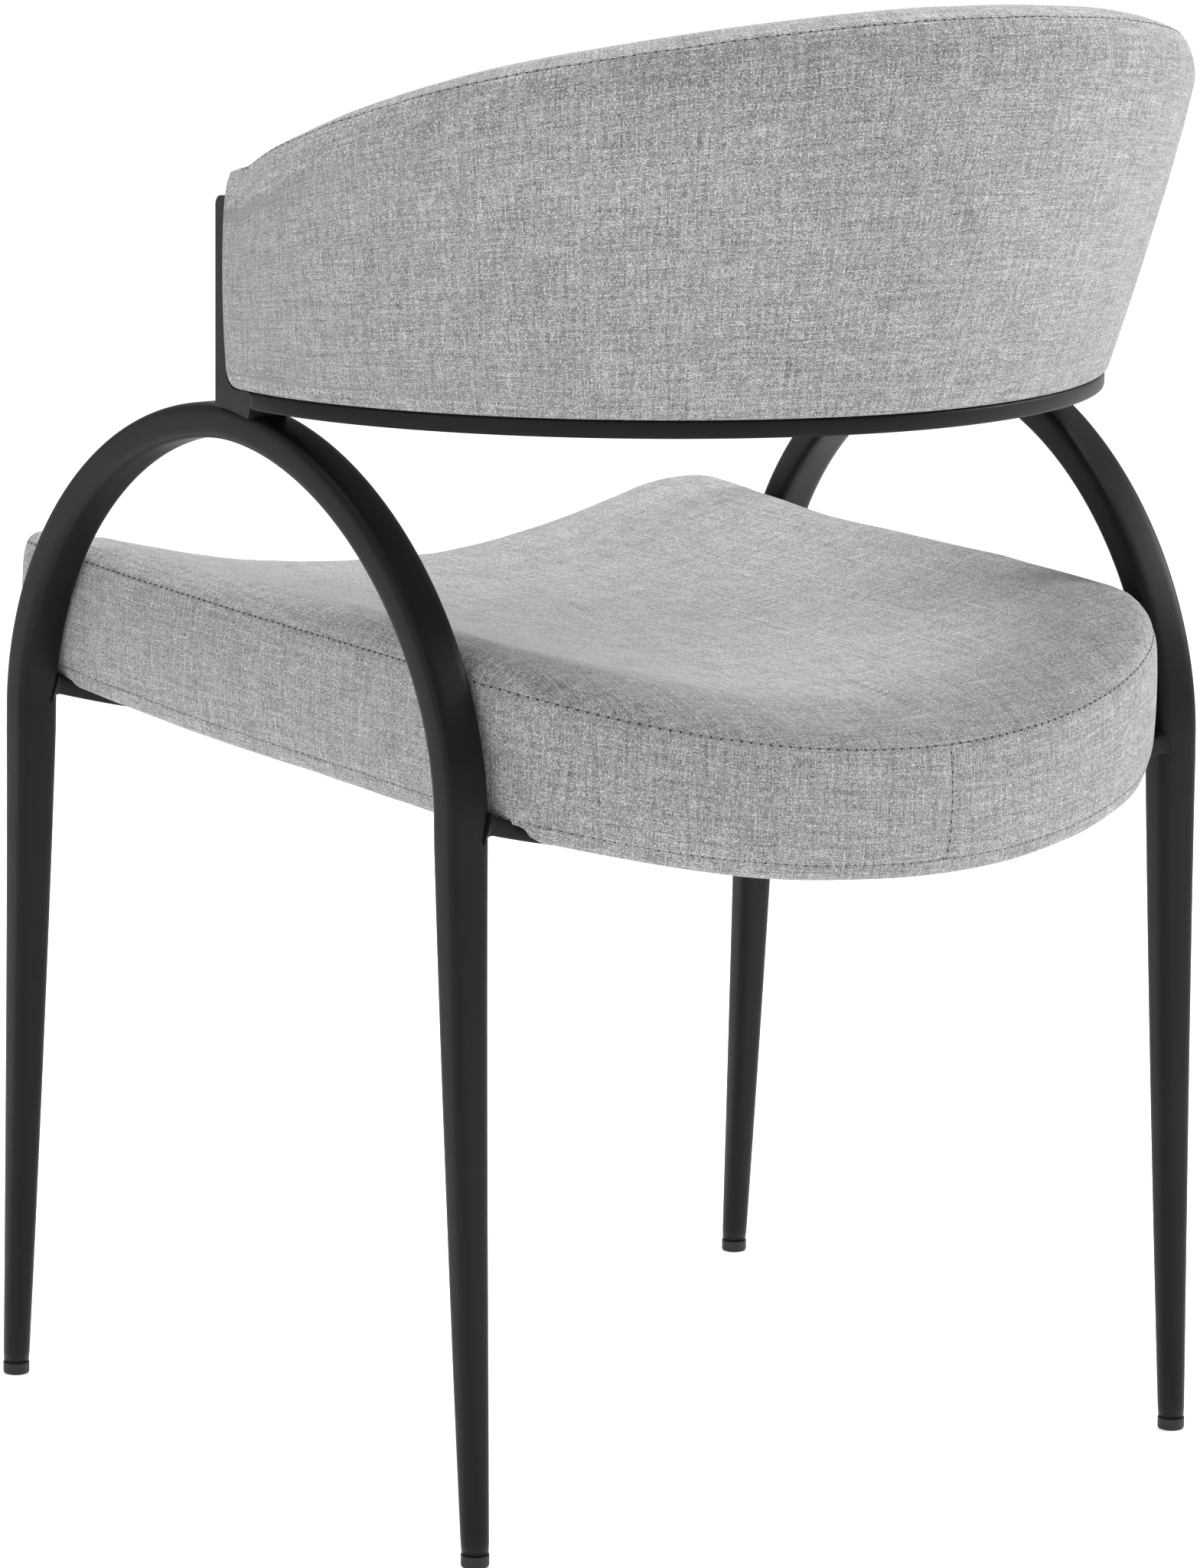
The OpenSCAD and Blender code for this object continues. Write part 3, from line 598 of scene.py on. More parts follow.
def puff(P, pinned, pressure, limit):
    """Blows up a closed net of points (m x n x 3, millimetres, wrapped in n) as cloth held at its seams, and
    returns how far each point moved, at most limit."""
    m, n = P.shape[:2]
    faces = [list(f) for f in grid_faces(m, n)[0]] + end_fans(m, n)
    o = outward(new_object("sim", with_ends(P), faces, CLOTH))
    g = o.vertex_groups.new(name="pin")
    for i, w in enumerate(pinned.ravel()):
        if w > 0:
            g.add([int(i)], float(w), "REPLACE")
    mod = o.modifiers.new("cloth", "CLOTH")
    for k, v in CLOTH_SETTINGS.items():
        setattr(mod.settings, k, v)
    mod.settings.uniform_pressure_force = pressure
    mod.settings.effector_weights.gravity = 0
    mod.collision_settings.use_collision = False
    scene = bpy.context.scene
    scene.frame_start, scene.frame_end = 1, CLOTH_FRAMES
    mod.point_cache.frame_start, mod.point_cache.frame_end = 1, CLOTH_FRAMES
    for f in range(1, CLOTH_FRAMES + 1):
        scene.frame_set(f)
    ev = o.evaluated_get(bpy.context.evaluated_depsgraph_get())
    co = np.empty(len(ev.data.vertices) * 3)
    ev.data.vertices.foreach_get("co", co)
    move = (co.reshape(-1, 3)[: m * n] / MM).reshape(P.shape) - P
    length = np.linalg.norm(move, axis=-1, keepdims=True)
    bpy.data.objects.remove(o)
    scene.frame_set(1)
    return move * np.where(length > 0, limit * np.tanh(length / limit) / np.maximum(length, 1e-9), 0)


def along_rows(values, rows_from, rows_to):
    """Carries a net's values from one set of row positions to another."""
    out = np.empty((len(rows_to),) + values.shape[1:])
    for k in range(3):
        for j in range(values.shape[1]):
            out[:, j, k] = np.interp(rows_to, rows_from, values[:, j, k])
    return out


def normals_of(P):
    """Unit normals of a net wrapped in its second direction."""
    return unit(np.cross(np.roll(P, -1, 1) - np.roll(P, 1, 1), np.gradient(P, axis=0)))


def noise_field(P, scale, seed):
    values = [noise.noise(Vector((x / scale + seed, y / scale, z / scale))) for x, y, z in P.reshape(-1, 3)]
    return np.array(values).reshape(P.shape[:-1])


def seam_depth(gap, deep, wide, wave):
    """How far a seam draws the cloth in at some gap from it: a groove, and dimples that follow its stitches."""
    dimples = deep * 0.16 * np.exp(-((gap / 4.0) ** 2)) * (0.6 + 0.4 * wave)
    return deep * np.exp(-((gap / wide) ** 2)) + dimples


def stitches(name, line, up, pitch, size):
    """Sewn stitches along a line of points: dark beads of painted shade at the needle holes, with thread lying
    between them.
    """
    s = arc_length(line)
    count = max(int(s[-1] / pitch), 2)
    at = np.linspace(0, s[-1], count + 1)
    pts, ups = (np.stack([np.interp(at, s, v[:, k]) for k in range(3)], 1) for v in (line, up))
    bm = bmesh.new()

    def bead(centre, rot, *radii):
        shape = Matrix.Diagonal(Vector([r * MM for r in radii] + [1]))
        place = Matrix.Translation(Vector(centre * MM)) @ rot @ shape
        return bmesh.ops.create_icosphere(bm, subdivisions=1, radius=1.0, matrix=place)["verts"]

    for i in range(count):
        a, b = pts[i], pts[i + 1]
        z = unit(ups[i] + ups[i + 1])
        x, length = unit(b - a), np.linalg.norm(b - a)
        y = np.cross(z, x)
        rot = Matrix(((x[0], y[0], z[0], 0), (x[1], y[1], z[1], 0), (x[2], y[2], z[2], 0), (0, 0, 0, 1)))
        bead((a + b) / 2 + z * size * 0.1, rot, length * 0.40, size * 0.62, size * 0.55)
        # a flat dark bead at each needle hole: painted shade
        for f in {f for v in bead(a, rot, size * 1.7, size * 1.25, size * 0.7) for f in v.link_faces}:
            f.material_index = 1
    o = from_bmesh(name, bm, THREAD, NEEDLE_HOLE_SHADE)
    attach(o, "root")


# ---------------------------------------------------------------- seat cushion
WEAVE_SHIFT = 1000  # sets the weave of separate pieces of cloth apart from each other
ROW = 11.1  # how far past a main seam its second row of stitches runs
FLAT_INSET = 40  # how far inside the outline the seat's crest ends and its flat top begins
UNDER_GAP = 1.6  # how far the cushion's underside stays above the board's, behind the dust cover
JOIN_BOW = 3.4  # how far the rear join leans out half way up
# Pairs of inset and share: of the hem's drop, of the band's height and of the crown's height
HEM = ((36, 0), (30, 0), (18, 0.8), (8, 1), (2.8, 0.82))
BAND = ((0, 0), (-1.6, 0.12), (-2.2, 0.3), (-2.3, 0.5), (-2.2, 0.7), (-1.6, 0.88), (0, 1))
CREST = ((0, 0), (2.5, 0.3), (8, 0.62), (19, 0.87), (FLAT_INSET, 1.0))
# Where the fine net has its rings along each of them, closer together at the seams
HEM_RINGS = np.concatenate([np.linspace(0, 4, 17), [4.3, 4.6, 4.9, 5.15, 5.35, 5.5, 5.65, 5.78, 5.9, 6.0]])
BAND_RINGS = 6 * np.concatenate([
    [0.006, 0.014, 0.025, 0.04, 0.06, 0.09], np.linspace(0.13, 0.87, 20),
    [0.91, 0.94, 0.96, 0.975, 0.986, 0.994, 1.0],
])
TOP_ARC = np.concatenate([
    [0, 0.5, 1.0, 1.6, 2.4, 3.4, 4.8, 6.4, 8, 9.3, 10.1, 10.6, ROW],
    [11.6, 12.1, 12.9, 14.2, 16, 18.4, 21.5, 25], np.arange(29, 46, 4.2),
])


def seat_plan(n):
    """The seat's outline, evenly spaced from the +X end of its round rear, with inward normals and distances."""
    a = np.radians(np.linspace(0, 180, 240))
    rear = np.stack([d.seat_rear_x * np.cos(a), d.seat_turn_y + d.seat_rear_depth * np.sin(a)], 1)
    t = np.linspace(0, 1, 120)[1:-1]
    cx, r, end_y = d.seat_front_x - d.seat_corner_r, d.seat_corner_r, d.seat_front_y + d.seat_corner_r
    side = np.stack([-mix(d.seat_rear_x, d.seat_front_x, t), mix(d.seat_turn_y, end_y, t)], 1)

    def corner(x, start):
        q = np.radians(np.linspace(start, start + 90, 60))
        return np.stack([x + r * np.cos(q), end_y + r * np.sin(q)], 1)

    front = np.stack([np.linspace(-cx, cx, 120)[1:-1], np.full(118, d.seat_front_y)], 1)
    o = np.concatenate([rear, side, corner(-cx, 180), front, corner(cx, 270), side[::-1] * [-1, 1], rear[:1]])
    s = arc_length(o)
    at = np.linspace(0, s[-1], n, endpoint=False)
    p = np.stack([np.interp(at, s, o[:, k]) for k in (0, 1)], 1)
    w = max(int(n / 110), 1)
    u = unit(np.roll(p, -w, 0) - np.roll(p, w, 0))
    return p, np.stack([-u[:, 1], u[:, 0]], 1), at


def lift_dish(p):
    """How far the upper seam rises towards the sides and the front corners."""
    front = np.where(p[..., 1] < 0, (p[..., 1] / d.seat_front_y) ** 2, 0)
    across = (p[..., 0] / d.seat_front_x) ** 2
    return front * across * d.corner_lift + d.top_dish * across


def low_seam(p):
    """Height of the lower seam, which rises towards the front."""
    return d.low_seam_h + d.low_seam_rise * (np.maximum(-p[..., 1] - 40, 0) / (-d.seat_front_y - 40)) ** 1.5


def wings(p):
    """How far the crown rises towards the two sides of the rear half."""
    across = np.minimum((p[..., 0] / d.seat_rear_x) ** 2, 1)
    return d.crown_wings * across * np.clip((p[..., 1] + 150) / 200, 0, 1)


def with_z(p, z):
    return np.concatenate([p, z[..., None]], -1)


def shrunk(q, k):
    """An outline drawn in to a share k of its size across and less along, towards the seat's middle."""
    return q * [k, mix(1, k, 0.6)]


def seat_net(n, coarse):
    """Rings of the cushion from the middle of its underside to the middle of its top, with their regions,
    how firmly each is pinned and its position."""
    p, nin, arc = seat_plan(n)
    rings, regions, pins, rows = [], [], [], []

    def board(q):
        return saddle(q[:, 0])

    def upper(q):
        return board(q) + d.high_seam_h + lift_dish(q)

    def add(ring, region, pin, row):
        for store, value in ((rings, ring), (regions, region), (pins, pin), (rows, row)):
            store.append(value)

    flat = p + nin * FLAT_INSET
    for k in (0.06, 0.3, 0.55, 0.8):
        q = shrunk(flat, k)
        add(with_z(q, board(q) + UNDER_GAP), "under", 1, len(rings))
    # the hem hangs below the board, except where it is tucked in over the crossbars
    ctrl = []
    for e, k in HEM:
        q = p + nin * e
        bar = np.zeros(n)
        for y in (d.front_bar_y, d.rear_bar_y):
            bar = np.maximum(bar, 1 - smooth((np.abs(q[:, 1] - y) - d.bar_d / 2 - 1) / 7))
        h = np.minimum((low_seam(q) - d.hem_drop) * k, 0.2) if k else np.full(n, 1.3)
        ctrl.append(with_z(q, board(q) + (mix(h, 0.25, bar) if k else h)))
    q = p + nin * 0.8
    ctrl.append(with_z(q, board(q) + low_seam(q) - 2.5))
    ctrl.append(with_z(p, board(p) + low_seam(p)))
    for t in np.linspace(0, 6, 9) if coarse else HEM_RINGS:
        add(spline(ctrl, [t])[0], "hem", 0.0 if 3 < t < 5.5 else 1.0, 4 + t)
    ctrl = [with_z(p + nin * e, mix(board(p) + low_seam(p), upper(p), k)) for e, k in BAND]
    for t in np.linspace(0, 6, 9)[1:] if coarse else BAND_RINGS:
        add(spline(ctrl, [t])[0], "band", 1.0 if t > 5.9 else 0.0, 10 + t)
    ctrl = []
    for e, k in CREST:
        q = p + nin * e
        ctrl.append(with_z(q, upper(q) + k * (d.crown_h + wings(q))))
    path = spline(ctrl, np.linspace(0, len(ctrl) - 1, 81))
    seg = np.linalg.norm(np.diff(path, axis=0), axis=-1)
    s = np.concatenate([np.zeros((1, n)), np.cumsum(seg, 0)])
    for e in (4, 9, 16, 25, 34, 42) if coarse else TOP_ARC[1:]:
        ring = [[np.interp(min(e, s[-1, j]), s[:, j], path[:, j, k]) for k in range(3)] for j in range(n)]
        add(np.array(ring), "top", 0.0, 16 + e)
    for k in np.linspace(0.86, 0.08, 8) if coarse else np.linspace(0.97, 0.03, 48):
        q = shrunk(flat, k)
        add(with_z(q, upper(q) + d.crown_h + wings(q)), "top", 0.0, 66 + (1 - k) * 100)
    return np.array(rings), np.array(regions), np.array(pins), np.array(rows), arc


def build_seat():
    soft, _, pin, soft_rows, _ = seat_net(150, True)
    soft = to_chair(soft)
    move = puff(soft, np.repeat(pin[:, None], soft.shape[1], 1), 3.2, 5.0)
    P, region, _, rows, arc = seat_net(640, False)
    P = to_chair(P)
    m, n = P.shape[:2]
    # the simulated movement, carried from the coarse net's rows and columns to the fine one's
    move = along_rows(move, soft_rows, rows)
    x = np.arange(n) / n * move.shape[1]
    i = np.floor(x).astype(int)
    f = smooth(x - i)[None, :, None]
    P = P + mix(move[:, i % move.shape[1]], move[:, (i + 1) % move.shape[1]], f) * 0.8
    normal = normals_of(P)
    if normal[-5, :, 2].mean() < 0:
        normal = -normal
    k_b, k_t = (int(np.where(region == name)[0][-1]) for name in ("hem", "band"))
    k_row = k_t + int(np.argmin(np.abs(TOP_ARC - ROW)))
    s = arc_length(P[:, 0])
    wave = np.sin(arc / 5.9 * 2 * np.pi)
    depth = np.zeros((m, n))
    for k, deep, wide in ((k_b, 0.4, 1.0), (k_t, 0.65, 1.1), (k_row, 0.3, 1.0)):
        depth += seam_depth(np.abs(s - s[k])[:, None], deep, wide, wave[None, :])
    # upright join of the band at the middle of the rear, leaning out a little half way up
    i_mid = int(np.argmax(P[k_t, :, 1]))
    join = np.where((region == "band") | (np.arange(m) == k_b))[0]
    bow = JOIN_BOW * np.sin(np.linspace(0, math.pi, len(join)))
    gap = (np.arange(n) - i_mid)[None, :] * arc[1] - bow[:, None]
    depth[join] += np.exp(-((gap / 2.2) ** 2))
    broad = noise_field(P, 95, 3.0) * 0.9 + noise_field(P, 34, 11.0) * 0.35
    near = np.exp(-((np.abs(s - s[k_t])[:, None] / 9) ** 2)) * noise_field(P, 14, 7.0) * 0.5
    broad[region == "under"] = 0
    depth[region == "under"] = 0
    P = P - normal * depth[..., None] + normal * (broad + near)[..., None]
    # corners of the weave: flat plan on top and underside, wrapped round the sides
    faces, ci, cj = grid_faces(m, n)
    plan = P[..., :2].copy()
    p, nin, _ = seat_plan(n)
    k_flat = k_t + len(TOP_ARC) - 1
    for k in range(k_t, k_flat):
        # the crest is laid out flat past the outline, so that threads run on over it without stretching
        plan[k] = p + nin * (FLAT_INSET - (s[k_flat] - s[k]))
    u_side = np.append(arc, arc[-1] + arc[1])
    side = np.isin(region[np.minimum(ci.max(1), m - 1)], ["band", "hem"])
    flat = plan.reshape(-1, 2)[faces] + WEAVE_SHIFT
    uv = np.where(side[:, None, None], np.stack([u_side[cj], s[ci]], -1), flat)
    verts, fans = with_ends(P), end_fans(m, n)
    fan_uv = verts[np.ravel(fans)][:, :2] + WEAVE_SHIFT
    uvs = np.concatenate([uv.reshape(-1, 2), fan_uv]) * MM
    o = outward(new_object("seat_cushion", verts, list(faces) + fans, CLOTH, uvs))
    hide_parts("seat_foam", "seat_top_panel", "seat_side_band", "seat_base_strip")
    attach(o, "root")
    for name, k, pitch, size, off in (
        ("seat_low_stitches", k_b, 5.9, 0.42, 0.05),
        ("seat_main_stitches", k_t, 5.6, 0.55, 0.1),
        ("seat_top_stitches", k_row, 4.6, 0.24, -0.05),
    ):
        up = np.concatenate([normal[k], normal[k][:1]])
        stitches(name, np.concatenate([P[k], P[k][:1]]) + up * off, up, pitch, size)
    up = normal[join, i_mid]
    line = mix(P[join, i_mid], P[join, i_mid + 1], (bow / arc[1])[:, None]) + up * 0.1
    stitches("seat_rear_join", line[::2], up[::2], 5.4, 0.52)


build_seat()


# ---------------------------------------------------------------- under the seat
COVER_INSET = 30.5
STAPLE_INSET = 36
STAPLE_STEP = 44.0


def build_dust_cover():
    p, nin, arc = seat_plan(200)
    edge = p + nin * COVER_INSET
    low = np.array([with_z(shrunk(edge, k), saddle(edge[:, 0] * k)) for k in np.linspace(1, 0.04, 40)])
    low[..., 2] += 0.25 + noise_field(low, 60, 2.0) * 0.12
    # held tight at each staple, slightly loose between them
    low[0, :, 2] += 0.12 * (0.5 - 0.5 * np.cos(arc / STAPLE_STEP * 2 * np.pi))
    high = low + [0, 0, 0.55]
    o = capped("dust_cover", to_chair(np.concatenate([high[::-1], low])), DUST)
    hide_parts("seat_dust_cover")
    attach(o, "root")
    # wire staples just inside the cover's edge, but none at the crossbars
    bm = bmesh.new()
    line = p + nin * STAPLE_INSET

    def on_line(t):
        return np.array([np.interp(t, arc, line[:, k]) for k in (0, 1)])

    for t in np.arange(STAPLE_STEP / 2, arc[-1], STAPLE_STEP):
        c, along = on_line(t), on_line(t + 3) - on_line(t - 3)
        if min(abs(c[1] - d.front_bar_y), abs(c[1] - d.rear_bar_y)) < d.bar_d / 2 + 6:
            continue
        mid = to_chair(np.array([c[0], c[1], float(saddle(c[0])) + 0.1]))
        turn = Matrix.Rotation(math.atan2(along[1], along[0]), 4, "Z")
        tilt = Matrix.Rotation(-math.asin(c[0] / d.saddle_r), 4, "Y")
        wire = Matrix.Diagonal(Vector((5 * MM, 0.45 * MM, 0.35 * MM, 1)))
        place = Matrix.Translation(Vector(mid * MM)) @ tilt @ turn @ wire
        bmesh.ops.create_icosphere(bm, subdivisions=2, radius=1.0, matrix=place)
    staples = from_bmesh("dust_cover_staples", bm, ZINC)
    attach(staples, "root")


build_dust_cover()

BOLT_X = 112
BOLT_SIDES = 32
# Turned profiles as radius, height and whether the ring is a hexagon, from the face under the bolt's head
BOLT_PROFILE = (
    (5.2, 0, False), (5.25, -0.5, False), (4.9, -1.8, False), (4.1, -3.0, False), (3.1, -3.8, False),
    (2.6, -4.0, False), (1.95, -3.9, True), (1.9, -2.0, True), (0.05, -1.8, True),
)
WASHER_PROFILE = (
    (3.3, 1.55, False), (7.7, 1.55, False), (8.0, 1.2, False), (8.0, 0.4, False), (7.7, 0.05, False),
    (3.3, 0.05, False),
)


def turned_rings(bm, profile, x, y):
    """Rings of vertices, joined by quads, for a turned piece that stands off the saddle at x and y."""
    ang = math.asin(x / d.saddle_r)
    rings = []
    for r, h, hexagon in profile:
        depth = d.saddle_r - (h - d.bar_h - 1.65)
        pts = []
        for i in range(BOLT_SIDES):
            a = 2 * math.pi * i / BOLT_SIDES
            k = r / math.cos((a + math.pi / 6) % (math.pi / 3) - math.pi / 6) if hexagon else r
            across = k * math.cos(a)
            pts.append((depth * math.sin(ang) + across * math.cos(ang), y + k * math.sin(a),
                        d.saddle_r - depth * math.cos(ang) + across * math.sin(ang)))
        rings.append([bm.verts.new(Vector(q * MM)) for q in to_chair(np.array(pts))])
    for below, above in zip(rings, rings[1:]):
        join_rings(bm, below, above)
    return rings


def join_rings(bm, below, above):
    for i in range(BOLT_SIDES):
        j = (i + 1) % BOLT_SIDES
        bm.faces.new([below[i], below[j], above[j], above[i]])


def build_bolts():
    """Button-head bolts with a hexagon socket, and their washers."""
    bolts, washers = bmesh.new(), bmesh.new()
    for y in (d.front_bar_y, d.rear_bar_y):
        for x in (-BOLT_X, BOLT_X):
            rings = turned_rings(bolts, BOLT_PROFILE, x, y)
            bolts.faces.new(rings[-1])
            bolts.faces.new(rings[0][::-1])
            rings = turned_rings(washers, WASHER_PROFILE, x, y)
            join_rings(washers, rings[-1], rings[0])
    made = ((bolts, "button_head_bolts", "seat_bolts"), (washers, "plain_washers", "seat_washers"))
    for bm, name, node in made:
        bmesh.ops.recalc_face_normals(bm, faces=bm.faces)
        o = from_bmesh(name, bm, ZINC, sharp=35)
        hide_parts(node)
        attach(o, "root")


build_bolts()

# ---------------------------------------------------------------- backrest cushion
LOW = RAIL_TOP + 0.3
FRONT_Y = d.upright_y + d.upright_w + 0.3
# The cushion's front ends: edge radius, share of the rear panel's roll, fall and closing in of the top edge,
# radius of the top corner, and how far the face's middle line stops short of its top and bottom
END_R = 5.0
END_ROLL = 0.2
END_FALL = 3.8
END_CLOSE = 1.5
END_TOP_R = 12.0
END_CORE = 26
# How a section point's height is given: above LOW, from the top edge, or as a share of the height
ABOVE_LOW, FROM_TOP, SHARE = 0, 1, 2
# Section points as depth and height above LOW, heights below the top, and depths into the top strip
REAR_FOOT = ((3.0, 0.25), (1.4, 0.35), (0.5, 0.9), (0.05, 2.2), (0, 4.5), (0, 8))
REAR_TOP = (-22, -18, -14, -11, -8.5, -6.5, -4.8, -3.4, -2.3, -1.5, -0.9, -0.4)
STRIP = (0, 0.4, 0.9, 1.5, 2.3, 3.4, 4.8, 6.4, 8, 9.2, 10, 10.6, ROW, 11.6, 12.2, 13, 14.5, 16.5)
# The front panel's foot, as distance back from its face and height above LOW
FRONT_FOOT = ((0, 9), (0.1, 6.5), (0.5, 4.2), (1.3, 2.2), (2.5, 0.9), (4, 0.35))


def back_points(a, dep, ref, val):
    """Points of the cushion at angles a (m) for section points (n): depth, how the height is given, height."""
    a = np.atleast_1d(a)[:, None]
    sa = np.abs(np.sin(a))
    top = mix(d.back_end_z, d.back_mid_z, sa**d.back_rise_power)
    flare = mix(d.end_flare, d.rear_flare, 1 - (1 - sa) ** d.flare_power)
    dep, val, ref = dep[None, :], val[None, :], ref[None, :]
    z = np.where(ref == ABOVE_LOW, LOW + val, np.where(ref == FROM_TOP, top + val, LOW + val * (top - LOW)))
    up = (z - RAIL_TOP) / (top - RAIL_TOP)
    swell = d.back_swell * 4 * np.maximum(up * (1 - up), 0) * np.maximum(1 - dep / 12, 0)
    # the rear panel stands up straighter towards its two ends
    roll = d.back_roll * mix(END_ROLL, 1, smooth(np.minimum(sa / 0.5, 1)))
    roll = roll * np.maximum(1 - (top - z) / d.roll_h, 0) ** 2 * np.maximum(1 - dep / d.top_strip_w, 0)
    c = rail_curve(a[:, 0], d.rail_rx + d.back_overhang, d.rail_ry + d.back_overhang)
    off = flare * (z - RAIL_TOP) + swell - roll - dep
    xy = c[:, None] + rail_out(a[:, 0])[:, None] * off[..., None]
    return np.concatenate([xy, np.broadcast_to(z, off.shape)[..., None]], -1)


def crown(dep):
    return d.back_crown * (1 - np.abs(2 * dep / d.back_t - 1) ** 2.5)


def back_section(coarse):
    """Section points in order round the cushion: rear panel, top strip, front panel, underside."""
    t, w = d.back_t, d.top_strip_w
    rear = [(dep, ABOVE_LOW, h, "rear") for dep, h in REAR_FOOT]
    rear += [(0, SHARE, v, "rear") for v in np.linspace(0.08, 0.76, 7 if coarse else 26)]
    rear += [(0, FROM_TOP, v, "rear") for v in ((-16, -8) if coarse else REAR_TOP)]
    inner = [w - e for e in (3.6, 2.5, 1.6, 0.9, 0.4, 0)]
    deps = (0, 5, 12, 22, 32, w) if coarse else np.concatenate([STRIP, np.linspace(19, w - 5, 9), inner])
    strip = [(dep, FROM_TOP, crown(dep), "strip") for dep in deps]
    brow = [(dep, crown(dep)) for dep in (w + 0.5, w + 1.2, w + 2.2, w + 4, t - 9, t - 6.5)]
    brow += [(t - 4.2, 0.9), (t - 2.3, -1.2), (t - 0.9, -4.2), (t - 0.2, -8)]
    front = [(dep, FROM_TOP, h, "front") for dep, h in (brow[3::2] if coarse else brow)]
    front += [(t, SHARE, v, "front") for v in np.linspace(0.84, 0.12, 8 if coarse else 22)]
    front += [(t - e, ABOVE_LOW, h, "front") for e, h in (((0, 8), (1, 2.5)) if coarse else FRONT_FOOT)]
    deps = (t - 12, 30, 12) if coarse else np.linspace(t - 7, 6, 8)
    under = [(dep, ABOVE_LOW, 0.25, "under") for dep in deps]
    dep, ref, val, region = (np.array(v) for v in zip(*(rear + strip + front + under)))
    return dep.astype(float), ref, val.astype(float), region, len(rear), len(rear) + len(strip) - 1


def end_rings(full, coarse):
    """Rings from the middle of a front end's face, round its edge and back to the rail's first section."""
    top = d.back_end_z + d.back_crown
    # inward direction of the section, in x and z
    tangent = np.roll(full, -1, 0) - np.roll(full, 1, 0)
    nrm = unit(np.stack([tangent[:, 2], 0 * tangent[:, 0], -tangent[:, 0]], 1))
    nrm *= np.where(((full - full.mean(0)) * nrm).sum(1) > 0, -1, 1)[:, None]
    core = full.copy()
    core[:, 0] = full[:, 0].mean()
    core[:, 2] = np.clip(full[:, 2], full[:, 2].min() + END_CORE, full[:, 2].max() - END_CORE)

    def on_end(q, back):
        """Puts points of the section on the end face, rounded off towards its top and bottom."""
        q = q.copy()
        # the top edge and the seams keep falling and closing in up to the front
        high = np.clip((q[:, 2] - LOW) / (top - LOW), 0, 1) ** 2
        q[:, 0] -= np.sign(q[:, 0]) * END_CLOSE * high
        q[:, 2] -= END_FALL * high
        up = corner_cut(top - END_FALL - q[:, 2], END_TOP_R)
        q[:, 1] = FRONT_Y + np.maximum(corner_cut(q[:, 2] - LOW, d.fillet_r + 1), up) + back
        return q

    rings = [on_end(mix(core, full + nrm * END_R, k), 0) for k in (0.06, 0.35, 0.68)]
    for turn in np.radians([90, 45] if coarse else [90, 68, 45, 22]):
        rings.append(on_end(full + nrm * END_R * (1 - math.cos(turn)), END_R * (1 - math.sin(turn))))
    steps = 1 if coarse else 5
    return rings + [mix(on_end(full, END_R), full, k / steps) for k in range(steps)]


def back_net(coarse):
    """Sections of the cushion from one front end to the other, with their positions along the rail, the
    section's regions, its two main seams, and the number of rings at each end."""
    dep, ref, val, region, k_rear, k_front = back_section(coarse)
    stations = 60 if coarse else 360
    # even steps along the curve
    angles = np.linspace(0, np.pi, 2000)
    s = arc_length(rail_curve(angles, d.rail_rx, d.rail_ry))
    even = np.linspace(0, s[-1], stations)
    body = back_points(np.interp(even, s, angles), dep, ref, val)
    first, last = (np.array(end_rings(back_points(a, dep, ref, val)[0], coarse)) for a in (0.0, np.pi))
    P = np.concatenate([first, body, last[::-1]])
    gap = np.linalg.norm(np.diff(P[: len(first) + 1], axis=0), axis=2).mean(1)
    lead = -np.cumsum(gap[::-1])[::-1]
    return P, np.concatenate([lead, even, s[-1] - lead[::-1]]), region, k_rear, k_front, len(first)


def section_share(P):
    """Where each column lies round the middle section, as a share of the way round it."""
    mid = P[len(P) // 2]
    s = arc_length(mid)
    return s / (s[-1] + np.linalg.norm(mid[0] - mid[-1]))


